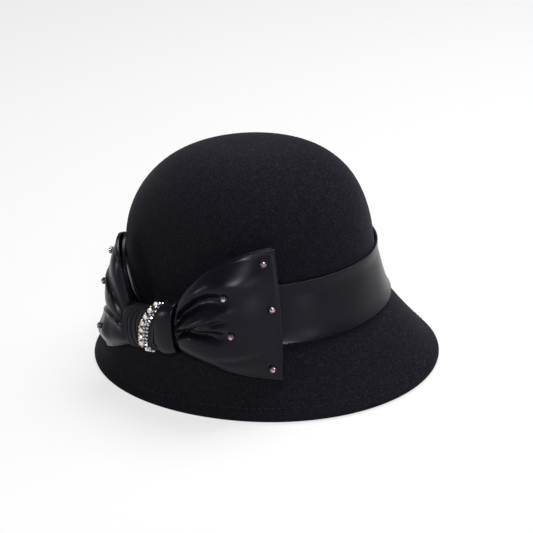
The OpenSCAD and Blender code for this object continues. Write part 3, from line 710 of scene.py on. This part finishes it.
hemTurns = evenAngles(hemLine, hat["stitchPitch"])
hemStitches = joinPieces("hemStitches", [
    stitchRow("hemUpper", hemLine, hemTurns, 0.1, -1, "hem", 3),
    stitchRow("hemLower", hemLine, hemTurns + stitchLook["hemShift"],
              2 * felt + hoodLook["foldGap"], 1, "hem", 4)])
dress(hemStitches, sewingThread, "sewing_thread", "hem_stitching")
print("hem stitches done")


# sweatband, a ribbed ribbon whose ends lap at the back
sweatLook = {"start": 1.5, "height": 29.0, "lap": 7.0, "steps": 260, "stitches": 60,
             "seam": 2.4, "edge": 0.2, "ease": 0.12}


def insideAt(th, z, depth):
    return crownAt(th, z, felt + hat["sweatGap"] + depth)


def makeSweatband():
    low, edge, thick = sweatLook["start"], sweatLook["edge"], hat["sweatThick"]
    high = low + sweatLook["height"]
    z, depth = np.array(
        [(low + edge, 0), (mix(low, high, 0.33), 0), (mix(low, high, 0.67), 0), (high - edge, 0),
         (high, edge), (high, thick - edge), (high - edge, thick)]
        + [(mix(high, low, k), thick) for k in (0.2, 0.4, 0.6, 0.8)]
        + [(low + edge, thick), (low, thick - edge), (low, edge)]).T
    rings, marks = [], []
    for part in np.linspace(0, 360 + sweatLook["lap"], sweatLook["steps"]):
        turn = math.radians(part)
        step = (thick + 0.2) * smooth((part - 356) / 4)
        ease = max(0, sweatLook["ease"] * math.sin(7 * turn) * math.sin(turn))
        rings.append(insideAt(180 + part, z, step + depth + ease))
        marks.append(together(turn * feltA, z))
    band = sweep("sweatband", rings)
    marks = np.array(marks).reshape(-1, 2)
    marks = np.vstack([marks, marks[0], marks[-1]])
    corners = np.zeros(len(band.data.loops), int)
    band.data.loops.foreach_get("vertex_index", corners)
    layer = band.data.uv_layers.new(name="weave")
    layer.data.foreach_set("uv", marks[corners].reshape(-1))
    return band


def sweatSeam(th, depth):
    return insideAt(th, sweatLook["start"] + sweatLook["seam"], depth)


def tackLine(th, depth):
    return crownAt(th, stitchLook["tackAt"], felt + depth)


sweatband = dress(makeSweatband(), ribbedRibbon, "ribbed_ribbon", "sweatband")
sweatShares = np.arange(1, sweatLook["stitches"]) / sweatLook["stitches"]
sweatTurns = 180 + sweatLook["lap"] + (360 - 2 * sweatLook["lap"]) * sweatShares
dress(stitchRow("sweatbandStitches", sweatSeam, sweatTurns, hat["sweatThick"], 1, "sweatband", 5),
      sewingThread, "sewing_thread", "sweatband_stitching")
tackTurns = bow["angle"] + 1.0 + np.array([
    loop["turn"] * loop["span"] * stitchLook["tackShare"] + stitchLook["tackPitch"] * i
    for loop in (frontLoop, backLoop) for i in (-1, 0, 1)])
dress(stitchRow("bowTackStitches", tackLine, tackTurns, 0.0, 1, "tack", 6),
      sewingThread, "sewing_thread", "bow_tack_stitches")
print("sweatband and stitches done")


# folded band round the crown
bandLook = {"steps": 360, "rows": 22, "gap": 0.4, "round": 0.55, "flare": 1.4, "flareHigh": 10.0,
            "roll": 0.25, "rollDown": 1.2, "rollWide": 1.3, "wave": 0.3, "gathers": 1.1,
            "gatherCount": 3.5}


def bandOff(th, z):
    # the face flares at the bottom, rolls over at the top, is never quite even and is gathered
    # into folds near the knot
    t = np.radians(th)
    turn = (th - bow["angle"] + 180) % 360 - 180
    high = bandTop(turn)
    near = smooth(1 - np.abs(turn) / hat["bandGather"])
    flare = bandLook["flare"] * np.clip(1 - z / bandLook["flareHigh"], 0, 1) ** 2
    roll = bandLook["roll"] * bell(z - high + bandLook["rollDown"], bandLook["rollWide"])
    folds = bandLook["gathers"] * near * np.sin(
        2 * np.pi * bandLook["gatherCount"] * (z / high) ** 1.1) * smooth((high - z) / 3)
    wave = (np.sin(7 * t + 0.06 * z) + 0.7 * np.sin(13 * t + 1.3 - 0.09 * z)
            + 0.5 * np.sin(4 * t + 0.2 * z)) * bandLook["wave"] / 2.2
    return bandFace(z) + flare + roll + folds + wave * smooth((high - z) / 8)


def makeBand():
    low, thick, r, rings = hat["bandLift"], hat["bandThick"], bandLook["round"], []
    bends = np.radians((30, 60, 90))
    out, up = r * np.cos(bends) - r, r * np.sin(bends) - r
    for turn in np.linspace(bandLook["gap"] / 2, 360 - bandLook["gap"] / 2, bandLook["steps"] + 1):
        th, high = bow["angle"] + turn, float(bandTop(min(turn, 360 - turn)))
        face, back = np.linspace(low + r, high - r, bandLook["rows"]), bandFace(high) - thick
        inside = ((high, back + 0.4), (high - 0.4, back),
                  (mix(low, high, 0.5), bandFace(high / 2) - thick),
                  (low + 0.4, -thick), (low, 0.4 - thick))
        z = np.concatenate([face, high + up, [z for z, off in inside], low - up[::-1]])
        off = np.concatenate([bandOff(th, face), bandOff(th, high - r) + out,
                              [off for z, off in inside], bandOff(th, low) + out[::-1]])
        rings.append(around(th, z, off))
    return sweep("hatBand", rings)


def bandBack(th, depth):
    rows = float(bandTop(0.0)) - stitchLook["joinTop"] - stitchLook["joinPitch"] * (
        np.arange(np.size(th)) % 3)
    return around(th, rows, bandFace(rows) - hat["bandThick"] - depth)


hatBand = dress(makeBand(), softLeather, "soft_leather", "hat_band")
dress(stitchRow("bandJoinStitches", bandBack, np.full(3, bow["angle"]), 0.0, 1, "tack", 7),
      sewingThread, "sewing_thread", "band_join_stitches")
print("band done")


# bow loops, each one strip of ribbon folded over at its end
loopLook = {"along": 96, "end": 10, "endBulge": 3.2, "across": 96, "edge": 0.9, "edgeWide": 1.3,
            "rim": 0.45, "curlAt": 0.86, "curlWide": 0.2}


def loopPlace(loop, q, v):
    # millimetres along the hat and up it, for a share past the knot and a share across
    p = mix(knotEdge(loop), 1, q)
    return together(loopReach(loop, v) * p * arcMm, loopHeight(loop, p, v))


def foldShape(loop, places, path, depth, narrow, wide, crest=0.0):
    # a fold pressed in along a path, from narrow to wide, with a crest on its upper side
    ends = loopPlace(loop, *np.array(path).T)
    best = np.full(places.shape[:-1], 1e9)
    side, share = np.zeros_like(best), np.zeros_like(best)
    for i, (a, b) in enumerate(zip(ends, ends[1:])):
        d = b - a
        k = np.clip(((places - a) @ d) / (d @ d), 0, 1)
        gap = places - (a + k[..., None] * d)
        far = np.linalg.norm(gap, axis=-1)
        near = far < best
        best = np.where(near, far, best)
        side = np.where(near, np.sign(d[0] * gap[..., 1] - d[1] * gap[..., 0]), side)
        share = np.where(near, (i + k) / (len(ends) - 1), share)
    width = mix(narrow, wide, share)
    fade = smooth((1 - share) / 0.4) * smooth(share / 0.08 + 0.35)
    high = crest * bell(side * best - 1.9 * width, 1.5 * width)
    return (high - depth * bell(best, width)) * fade


def swellShape(q, v, swells):
    return sum(high * bell(q - qAt, qWide) * bell(v - vAt, vWide)
               for qAt, vAt, high, qWide, vWide in swells)


frontFolds = (
    {"path": ((0.0, 0.42), (0.064, 0.38), (0.156, 0.405), (0.258, 0.47), (0.371, 0.469),
              (0.515, 0.433), (0.658, 0.412)),
     "depth": 6.2, "narrow": 2.2, "wide": 7.0, "crest": 1.0},
    {"path": ((0.10, -0.11), (0.161, -0.068), (0.265, -0.029), (0.376, 0.009), (0.497, 0.042),
              (0.650, 0.055)),
     "depth": 3.6, "narrow": 1.3, "wide": 3.0, "crest": 0.9},
    {"path": ((0.0, -0.12), (0.058, -0.166), (0.155, -0.175), (0.253, -0.234), (0.365, -0.240),
              (0.488, -0.256), (0.720, -0.285)),
     "depth": 6.6, "narrow": 2.1, "wide": 5.0, "crest": 1.0},
    {"path": ((0.42, -0.80), (0.567, -0.74), (0.707, -0.66), (0.837, -0.59), (0.97, -0.52)),
     "depth": 1.2, "narrow": 2.4, "wide": 4.0},
)
frontSwells = ((0.52, 0.60, 2.2, 0.20, 0.22), (0.74, 0.62, 0.9, 0.16, 0.16),
               (0.50, -0.60, 1.6, 0.25, 0.22))     # place, height and width each way
backSwells = ((0.6, -0.65, 1.3, 0.13, 0.28),)
backCreases = (((0.0, 0.5, 1.0), (0.25, 0.34, 0.43)), ((0.0, 0.5, 1.0), (-0.15, -0.22, -0.32)))
backStep = {"rise": 2.6, "sharp": 0.4, "decay": 9.0, "foot": 1.0, "footWide": 1.4,
            "flare": 2.0, "flareAt": -0.66, "flareWide": 0.2}
welt = {"high": 0.5, "wide": 0.013}


def frontShape(p, v):
    q = pastKnot(frontLoop, p)
    places = loopPlace(frontLoop, q, v)
    shape = sum(foldShape(frontLoop, places, **fold) for fold in frontFolds)
    shape = shape + swellShape(q, v, frontSwells) + 0.35 * np.sin(9 * q + 4 * v) * np.sin(5 * v + 1)
    return (shape * smooth(q / 0.06 + 0.2) * smooth((1 - q) / 0.05)
            + welt["high"] * bell(1 - q, welt["wide"]))


def backShape(p, v):
    # below each crease the panel steps outwards and settles back
    q = pastKnot(backLoop, p)
    z = loopPlace(backLoop, q, v)[..., 1]
    shape = np.zeros(np.broadcast(p, v).shape)
    for qs, vs in backCreases:
        below = loopPlace(backLoop, q, np.interp(q, qs, vs))[..., 1] - z
        step = 1 / (1 + np.exp(-np.clip(below / backStep["sharp"], -40, 40)))
        settle = np.exp(-np.maximum(0, below) / backStep["decay"])
        foot = backStep["foot"] * bell(np.minimum(0, below), backStep["footWide"])
        shape = shape + backStep["rise"] * step * settle - (1 - step) * foot
    flare = backStep["flare"] * bell(v - backStep["flareAt"], backStep["flareWide"])
    return (shape * smooth(q / 0.10 + 0.15) + flare * smooth((q - 0.35) / 0.6)
            + swellShape(q, v, backSwells))


def loopPath(loop, shape, v):
    # out along the outer ply, round the end and back along the inner ply, in mm along and out
    p = np.linspace(0, 1, loopLook["along"])
    run = loopReach(loop, v) * arcMm * p
    out = outerPly(loop, p, v) + shape(p, np.full_like(p, v))
    curl = loop["curl"] * bell(v - loopLook["curlAt"], loopLook["curlWide"])
    inner = innerPly(loop, p, v) + curl * np.sin(np.pi * p)
    turn = np.radians(np.linspace(90, -90, loopLook["end"] + 2)[1:-1])
    r, middle = (out[-1] - inner[-1]) / 2, (out[-1] + inner[-1]) / 2
    end = together(run[-1] + min(r, loopLook["endBulge"]) * np.cos(turn), middle + r * np.sin(turn))
    return np.vstack([together(run, out), end, together(run, inner)[::-1]])


def loopRing(loop, shape, v, half, beyond):
    path = loopPath(loop, shape, v)
    ahead = unit(np.gradient(path, axis=0))
    side = together(-ahead[:, 1], ahead[:, 0])
    lines = []
    for sign in (1, -1):
        s, out = (path + sign * half * side).T
        p = np.clip(s / (loopReach(loop, v) * arcMm), 0, 1)
        th = bow["angle"] + loop["turn"] * (bow["neckStart"] + s) / arcMm
        lines.append(around(th, loopHeight(loop, p, v) + beyond, out))
    return np.vstack([lines[0], lines[1][::-1]])


def makeLoop(name, loop, shape):
    # rounded rims, a little thicker than the ribbon, where its edges are turned in
    half, rim, edge, rings = bow["ribbon"] / 2, loopLook["rim"], loopLook["edge"], []
    high = (loop["top"] + loop["dip"]) / 2
    for v in np.sin(np.radians(np.linspace(-81, 81, loopLook["across"] + 1))) / np.sin(
            np.radians(81)):
        near = bell((1 - abs(v)) * high, loopLook["edgeWide"])
        rings.append(loopRing(loop, shape, v, half * (1 + edge * near), 0.0))
    for beyond, share in ((0.55, 0.94), (0.85, 0.74), (1.0, 0.4)):
        thick = half * (1 + edge) * share
        rings.insert(0, loopRing(loop, shape, -1.0, thick, -rim * beyond))
        rings.append(loopRing(loop, shape, 1.0, thick, rim * beyond))
    n, m = len(rings), len(rings[0])
    faces = skinFaces(n, m)
    for base in (0, (n - 1) * m):
        faces += [(base + j, base + j + 1, base + m - 2 - j, base + m - 1 - j)
                  for j in range(m // 2 - 1)]
    return addMesh(name, rings, faces)


bowFrontLoop = dress(makeLoop("bowFrontLoop", frontLoop, frontShape), softLeather,
                     "soft_leather", "bow_front_loop")
bowBackLoop = dress(makeLoop("bowBackLoop", backLoop, backShape), softLeather,
                    "soft_leather", "bow_back_loop")
print("bow loops done")


# knot: a pleated wrap that stops short of the tape, and a smooth cuff
trim = {"width": 13.0, "shift": 0.3, "slant": 5.0, "lean": 4.5, "swing": 14.0, "swingFrom": 0.5,
        "reach": 128.0, "top": 84.0, "pitch": 5.9, "crystalRow": -3.3, "silverRow": 0.05,
        "goldShift": -1.5, "crystalD": 3.8, "goldD": 1.8, "silverD": 2.6, "silverGap": 0.15,
        "count": 8, "base": 0.35, "cord": 0.2, "mesh": 1.7, "cross": 0.12, "endGap": 0.4,
        "selvedge": 1.6, "selvedgeIn": 0.3}
knotLook = {"around": 120, "wrapSteps": 150, "cuffSteps": 40, "edge": 0.65, "cuffBulge": 1.0,
            "cuffLift": 0.7, "plump": 1.2, "plumpEnd": 1.6, "bendFrom": -12.0, "bendTurn": 55.0,
            "backBend": 2.4, "deepest": 0.9, "pleatEnd": 110.0, "pleatFade": 40.0}
wrapPleats = ((-21.2, 3.4, 1.2, 0.5), (-18.6, 4.1, 1.9, 0.75), (-14.9, 4.3, 2.2, 0.9),
              (-12.6, 4.3, 1.2, 0.5), (-9.6, 3.4, 1.8, 0.7))     # place, bend, depth, width
knotTurns = np.linspace(-180, 180, knotLook["around"], endpoint=False)
knotEnd, cuffWide = bow["knotWidth"] / 2, bow["cuffWidth"]


def trimAt(angle):
    high = np.sin(np.radians(angle))
    return (trim["shift"] + trim["slant"] * high + trim["lean"] * np.maximum(0, high) ** 2
            + trim["swing"] * np.maximum(0, -high - trim["swingFrom"]))


def wrapGrow(s, a):
    # plump crescent pleats up to the tape, gathered flat at the back
    grow = knotLook["plump"] * smooth((trimAt(a) - trim["width"] / 2 - s) / knotLook["plumpEnd"])
    turn = (a - knotLook["bendFrom"]) / knotLook["bendTurn"]
    for place, bend, depth, wide in wrapPleats:
        bent = np.where(turn > 0, bend, knotLook["backBend"]) * turn ** 2
        grow = grow - depth * bell(s - place - bent, wide)
    fade = smooth((knotLook["pleatEnd"] - np.abs(a)) / knotLook["pleatFade"])
    return np.maximum(grow, -knotLook["deepest"]) * fade


def cuffGrowth(s, a):
    # its middle swells and its left edge stands off the wrap
    k = (s - knotEnd + cuffWide / 2) / (cuffWide / 2)
    swell = knotLook["cuffBulge"] * (1 - k ** 2) + knotLook["cuffLift"] * (1 - k)
    return swell * np.cos(np.radians(a) / 2) ** 2


def knotSleeve(name, left, right, base, wall, shape, steps):
    # a closed sleeve round the knot with rounded edges at both ends
    a, r = knotTurns, knotLook["edge"]
    bends = np.radians((60, 30, 0, -30, -60))

    def rounded(end, side, turns):
        places = [(end + side * r * (math.cos(t) - 1), wall / 2 * (math.sin(t) - 1)) for t in turns]
        return [knotAt(s, a, base + shape(s, a) * 0.5 + grow) for s, grow in places]

    faces = [mix(left + r, right - r, k) for k in np.linspace(0, 1, steps)]
    rings = [knotAt(s, a, base + shape(s, a)) for s in faces] + rounded(right, 1, bends)
    rings += [knotAt(mix(left + r, right - r, k), a, base - wall) for k in np.linspace(1, 0, 8)]
    return sweep(name, rings + rounded(left, -1, bends[::-1]), closed=True)


cuffLeft = knotEnd - cuffWide + bow["cuffSlant"] * np.sin(np.radians(knotTurns)) ** 2
knotWrap = dress(
    knotSleeve("knotWrap", -knotEnd, knotEnd - bow["wrapInset"], 0.0, bow["wall"], wrapGrow,
               knotLook["wrapSteps"]), softLeather, "soft_leather", "knot_wrap")
knotCuff = dress(
    knotSleeve("knotCuff", cuffLeft, knotEnd, cuffGrow, bow["cuffWall"], cuffGrowth,
               knotLook["cuffSteps"]), softLeather, "soft_leather", "knot_cuff")
print("knot done")


# mesh tape under the stones
def knotFace(s, angle):
    up = knotAt(s, angle + 1, 0.0) - knotAt(s, angle - 1, 0.0)
    side = knotAt(s - 1, angle, 0.0) - knotAt(s + 1, angle, 0.0)
    return unit(np.cross(up, side))


def onTape(s, angle, lift):
    place = trimAt(angle) + s
    return knotAt(place, angle, 0.0) + (cuffIn + lift) * knotFace(place, angle)


def tapeCord(s, angle, lift, radius):
    # a round cord along a line of the tape
    place = trimAt(angle) + s
    places, face = knotAt(place, angle, lift), knotFace(place, angle)
    ahead = unit(np.gradient(places, axis=0))
    up = unit(face - (face * ahead).sum(1, keepdims=True) * ahead)
    side = np.cross(ahead, up)
    return np.stack([places + radius * (math.cos(t) * up + math.sin(t) * side)
                     for t in evenTurns(5)], 1)


def makeTape():
    half, low, cord, far = trim["width"] / 2, bow["tapeLift"], trim["cord"], trim["reach"]
    top = low + trim["base"]
    level = top + cord * 0.9
    a = np.linspace(far, -far, 90)
    outline = ([(w, top) for w in (-half, -half / 3, half / 3, half)]
               + [(w, low) for w in (half, half / 3, -half / 3, -half)])
    base = np.stack([knotAt(trimAt(a) + w, a, grow) for w, grow in outline], 1)
    turns = np.linspace(far, -far, 257)
    run, cords = runAlong(knotAt(trimAt(turns), turns, 0.6)), []
    for slope in (1, -1):
        for start in np.arange(-trim["width"], run[-1] + trim["width"], trim["mesh"]):
            w = np.linspace(-half, half, 15)
            d = start + slope * w
            inside = (d > trim["endGap"]) & (d < run[-1] - trim["endGap"])
            if inside.sum() > 2:
                angle = np.interp(d[inside], run, turns)
                lift = level + trim["cross"] * slope
                cords.append(tapeCord(w[inside], angle, lift, cord))
    edge = half - trim["selvedgeIn"]
    for w in (-edge, edge):
        cords.append(tapeCord(w, np.linspace(far - 1, 1 - far, 120), level,
                              trim["selvedge"] * cord))
    points, faces = [], []
    for rings in cords:
        start, (n, m) = len(points), rings.shape[:2]
        points.extend(rings.reshape(-1, 3))
        last = start + (n - 1) * m
        faces += skinFaces(n, m, start=start)
        faces += [tuple(range(start, start + m))[::-1], tuple(range(last, last + m))]
    return joinPieces("trimTape", [sweep("tapeBase", base, flat=True),
                                   addMesh("tapeNet", points, faces)])


trimTape = dress(makeTape(), trimMesh, "trim_mesh", "trim_tape")
print("tape done")


# cut stones, beads and claw settings, set with one tree
stoneLook = {"sides": 8, "foot": 0.35, "girdle": 0.4, "girdleFoot": 0.7, "star": 0.80,
             "starHigh": 0.55, "table": 0.55, "high": 0.6, "loopD": 4.0, "loopHigh": 2.2}
# painted glint colours for the facets: white and warm tints as painted fire, grey and near-black as
# painted reflections of dark surroundings
clearGlintPaints = ((1.0, 1.0, 1.0), (0.95, 0.97, 1.0), (1.0, 1.0, 1.0), (1.0, 0.93, 0.84),
              (0.72, 0.74, 0.84), (0.98, 0.98, 1.0), (0.45, 0.45, 0.52), (1.0, 0.98, 0.95))
smokyGlintPaints = ((1.0, 1.0, 1.0), (0.92, 0.94, 1.0), (0.42, 0.42, 0.48), (1.0, 0.88, 0.68),
              (1.0, 0.80, 0.86), (0.80, 0.84, 0.95), (0.16, 0.16, 0.20), (1.0, 0.97, 0.92))
stoneSpots = {                           # shares along each loop and across it
    "front": ((0.912, 0.83), (0.625, 0.445), (0.948, 0.145), (0.664, -0.235), (0.938, -0.82)),
    "back": ((0.86, 0.8), (0.82, 0.25), (0.86, -0.6)),
}


def makeStone(name, d, high, seed, glintPaints):
    # a brilliant cut: girdle, main and star facets and a table, each facet painted with a glint
    # colour drawn at random from the list
    n, r, girdle = stoneLook["sides"], d / 2, stoneLook["girdle"] * high
    low, star = girdle * stoneLook["girdleFoot"], mix(girdle, high, stoneLook["starHigh"])
    turns = evenTurns(n)
    half = turns + np.pi / n
    points = [spun(radius, 0, z, t) for radius, z, angle in (
        (r * stoneLook["foot"], 0.0, turns), (r, low, turns), (r, low, half), (r, girdle, turns),
        (r, girdle, half), (r * stoneLook["star"], star, turns),
        (r * stoneLook["table"], high, half)) for t in angle]
    faces = [tuple(range(n))[::-1]]
    for j in range(n):
        a, b, c, d, e, f, g = (j + n * i for i in range(7))
        k = (j + 1) % n
        faces += [(a, k, n + k, c, b), (b, c, e, d), (c, n + k, 3 * n + k, e), (d, e, f),
                  (e, 3 * n + k, 5 * n + k), (e, 5 * n + k, g, f), (5 * n + k, 6 * n + k, g)]
    faces.append(tuple(range(6 * n, 7 * n)))
    stone = addMesh(name, points, faces, flat=True)
    # each face is painted one glint colour, standing in for the light the cut glass would throw
    paint = stone.data.color_attributes.new("facetGlintPaint", "FLOAT_COLOR", "CORNER")
    rng = np.random.default_rng(seed)
    for face in stone.data.polygons:
        glintPaint = glintPaints[rng.integers(len(glintPaints))]
        for corner in face.loop_indices:
            paint.data[corner].color = (*glintPaint, 1)
    return stone


def makeBead(name, d, rows, cols, flat):
    # a bead that rests on z = 0, cut with flats or smooth
    r = d / 2
    rings = [[spun(r * math.sin(t), 0, r - r * math.cos(t), u) for u in evenTurns(cols)]
             for t in np.radians(np.linspace(180 / rows, 180 - 180 / rows, rows - 1))]
    return sweep(name, rings, flat=flat, tips=[(0, 0, 0), (0, 0, d)])


clawLook = {"cupWall": 0.5, "cupHigh": 1.1, "cupFloor": 0.4, "rim": 0.12, "hole": 0.3,
            "wide": 0.36, "taper": 0.04, "thick": 0.22, "lift": 0.25, "stoneLift": 0.75}
clawPath = ((-0.05, 0.1, 1, 0), (0.1, 0.9, 1, 0), (-0.05, 1.6, 1, 0), (-0.45, 1.95, 0.4, 0.9),
            (-0.85, 2.0, 0.4, 0.9))      # steps out and up, and how far the claw lies over


def makeClaws(name, d):
    # a cup with a flared rim and four claws bent over the stone
    high, low, rim, hole = (clawLook[k] for k in ("cupHigh", "cupFloor", "rim", "hole"))
    out = d / 2 + clawLook["cupWall"]
    outline = ((out - 0.5, 0.0), (out - 0.1, 0.0), (out, 0.35), (out, high - rim),
               (out - rim, high), (out - 0.3, high), (out - 0.4, high - rim), (out - 0.4, low),
               (hole, low), (hole, 0.0))
    parts = [sweep("cup", [[spun(r, 0, z, t) for r, z in outline] for t in evenTurns(32)],
                   closed=True)]
    for t in evenTurns(4) + np.pi / 4:
        parts.append(sweep("claw", [
            [spun(out + r + clawLook["thick"] * math.sin(b) * lean,
                  (clawLook["wide"] - clawLook["taper"] * i) * math.cos(b),
                  z + clawLook["thick"] * math.sin(b) * rise, t) for b in evenTurns(10)]
            for i, (r, z, lean, rise) in enumerate(clawPath)]))
    return joinPieces(name, parts)


def setOut(name, part, places, face, along, material, slotName, node):
    guide = addGuide(name, places, along, face)
    piece = grow(guide, setParts, {"Part": part, "Finish": material})
    return dress(piece, material, slotName, node)


rowTurns = np.linspace(trim["top"], -trim["reach"], 425)
rowRun = runAlong(onTape(trim["crystalRow"], rowTurns, 0.0))


def trimRow(name, part, s, steps, material, slotName, node, seed):
    # parts along the tape, at steps of the stones' pitch from the top
    a = np.interp(steps * trim["pitch"], rowRun, rowTurns)
    face = knotFace(trimAt(a) + s, a)
    rng = np.random.default_rng(seed)
    along = np.cross(face, rng.normal(0, 1, face.shape))
    tilt = rng.normal(0, 0.05, face.shape)
    return setOut(name, part, onTape(s, a, 0.0), face + tilt, along, material, slotName, node)


def loopPoint(loop, shape, p, v):
    off = outerPly(loop, p, v) + shape(p, v) + bow["ribbon"] / 2
    return around(loopAngle(loop, p, v), loopHeight(loop, p, v), off)


def loopFace(loop, shape, p, v, d=0.02):
    along = loopPoint(loop, shape, p - d, v) - loopPoint(loop, shape, p + d, v)
    across = loopPoint(loop, shape, p, v - d) - loopPoint(loop, shape, p, v + d)
    return unit(loop["turn"] * np.cross(along, across))


bigStone = makeStone("bigStone", trim["crystalD"], trim["crystalD"] * stoneLook["high"], 11,
                     clearGlintPaints)
loopStone = makeStone("loopStone", stoneLook["loopD"], stoneLook["loopHigh"], 12, smokyGlintPaints)
goldBead = makeBead("goldBead", trim["goldD"], 10, 16, False)
silverBead = makeBead("silverBead", trim["silverD"], 6, 9, True)
claws = makeClaws("claws", stoneLook["loopD"])

steps = np.arange(trim["count"])
trimRow("trimCrystals", bigStone, trim["crystalRow"], steps, crystalBright, "crystal",
        "trim_crystals", 21)
trimRow("goldBeads", goldBead, trim["crystalRow"] + trim["goldShift"], steps[:-1] + 0.5,
        goldMetal, "gold_metal", "trim_gold_beads", 22)
joinPieces("silverBeads", [
    trimRow("silver" + label, silverBead, s, np.arange(2 * trim["count"] - 1) / 2, silverMetal,
            "silver_metal", "trim_silver_beads", seed)
    for label, s, seed in (
        ("Near", trim["silverRow"], 23),
        ("Far", trim["silverRow"] + trim["silverD"] + trim["silverGap"], 24))])
for side, loop, shape in (("front", frontLoop, frontShape), ("back", backLoop, backShape)):
    p, v = np.array(stoneSpots[side]).T
    face, seat = loopFace(loop, shape, p, v), loopPoint(loop, shape, p, v)
    along = np.cross(face, np.random.default_rng(31).normal(0, 1, face.shape))
    setOut(side + "LoopSettings", claws, seat + clawLook["lift"] * face, face, along, darkMetal,
           "dark_metal", side + "_loop_settings")
    setOut(side + "LoopCrystals", loopStone, seat + clawLook["stoneLift"] * face, face, along,
           crystalSmoky, "crystal", side + "_loop_crystals")
for part in (bigStone, loopStone, goldBead, silverBead, claws):
    bpy.data.objects.remove(part)
print("stones and settings done")

for node, material in (("brim_wire", steelWire), ("gather_thread", sewingThread),
                       ("bow_backing", woolFelt)):
    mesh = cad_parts[node].data
    mesh.materials.clear()
    mesh.materials.append(material)


# floor, light and camera
room = {"light": 0.11, "ceiling": 0.2, "ceilingAt": 0.42, "white": 0.7, "floor": 0.74,
        "aim": (0, 0, 0.08)}
lamps = {                                # place, width and power
    "overhead": ((0.40, -0.30, 1.35), 1.0, 23.0), "side": ((0.75, -1.05, 0.75), 0.6, 5.0),
    "low": ((-0.80, -1.02, 0.26), 0.4, 1.0), "front": ((-1.18, -0.68, 0.80), 0.2, 8.0),
    "rim": ((-0.75, 0.66, 0.47), 0.18, 1.9),
}


def seenShare(tree):
    # 1 for what the eye, reflections and clear things see, 0 for soft light
    rays = tree.nodes.new("ShaderNodeLightPath").outputs
    clear = calc(tree, "MAXIMUM", rays["Is Glossy Ray"], rays["Is Transmission Ray"])
    return calc(tree, "MAXIMUM", rays["Is Camera Ray"], clear)


def makeFloor():
    # to the eye and in reflections the floor is mostly plain white, with the shadow kept in it
    mesh = bpy.data.meshes.new("floor")
    mesh.from_pydata([(-4, -4, 0), (4, -4, 0), (4, 4, 0), (-4, 4, 0)], [], [(0, 1, 2, 3)])
    material, tree, shader = startMaterial(
        "paleFloor", Base_Color=(*[room["floor"]] * 3, 1), Roughness=0.75, Specular_IOR_Level=0.2)
    mixed = nodeOf(tree, "ShaderNodeMixShader",
                   Fac=calc(tree, "MULTIPLY", seenShare(tree), room["white"]))
    feed(mixed.inputs[1], shader)
    feed(mixed.inputs[2], nodeOf(tree, "ShaderNodeEmission", Color=(1, 1, 1, 1), Strength=1.0))
    setNode(tree.nodes["Material Output"], Surface=mixed)
    mesh.materials.append(material)
    addObject("floor", mesh)


def makeRoom():
    # a white wall under a dim ceiling to the eye and in reflections, even and dimmer for soft light
    world = bpy.data.worlds.new("room")
    bpy.context.scene.world = world
    world.use_nodes = True
    tree = world.node_tree
    tree.nodes.clear()
    way = nodeOf(tree, "ShaderNodeSeparateXYZ",
                 Vector=tree.nodes.new("ShaderNodeTexCoord").outputs["Generated"])
    wall = spread(tree, way.outputs["Z"], 0.0, room["ceilingAt"], 1.0 - room["light"],
                  room["ceiling"] - room["light"])
    strength = calc(tree, "ADD", calc(tree, "MULTIPLY", seenShare(tree), wall), room["light"])
    back = nodeOf(tree, "ShaderNodeBackground", Color=(1, 1, 1, 1), Strength=strength)
    nodeOf(tree, "ShaderNodeOutputWorld", Surface=back)


def placeObject(name, data, place, turn):
    obj = addObject(name, data)
    obj.location = place
    obj.rotation_mode = "QUATERNION"
    obj.rotation_quaternion = turn
    return obj


def addLamp(name, place, size, power):
    lamp = bpy.data.lights.new(name, "AREA")
    lamp.shape = "DISK"
    lamp.size = size
    lamp.energy = power
    turn = (Vector(room["aim"]) - Vector(place)).to_track_quat("-Z", "Y")
    placeObject(name, lamp, place, turn)


makeFloor()
makeRoom()
for name, lamp in lamps.items():
    addLamp(name, *lamp)

shot = {"azimuth": -65.0, "elevation": 25.786, "roll": -4.934, "distance": 1.167667,
        "lens": 105.13, "sensor": 36.0, "aimRight": 0.008610, "aimUp": 0.015034}


def makeCamera():
    a, e, r = (math.radians(shot[k]) for k in ("azimuth", "elevation", "roll"))
    back = Vector((math.sin(a) * math.cos(e), -math.cos(a) * math.cos(e), math.sin(e)))
    right = Vector((math.cos(a), math.sin(a), 0))
    up = back.cross(right)
    right, up = (math.cos(r) * right + math.sin(r) * up, math.cos(r) * up - math.sin(r) * right)
    ahead = (right * shot["aimRight"] + up * shot["aimUp"] - back).normalized()
    right = ahead.cross(up).normalized()
    up = right.cross(ahead)
    data = bpy.data.cameras.new("camera")
    data.lens = shot["lens"]
    data.sensor_width = shot["sensor"]
    bpy.context.scene.camera = placeObject(
        "camera", data, Vector((0, 0, drop * mm)) + back * shot["distance"],
        Matrix((right, up, -ahead)).transposed().to_quaternion())


makeCamera()
bpy.context.scene.view_settings.view_transform = "Standard"

bpy.context.view_layer.update()
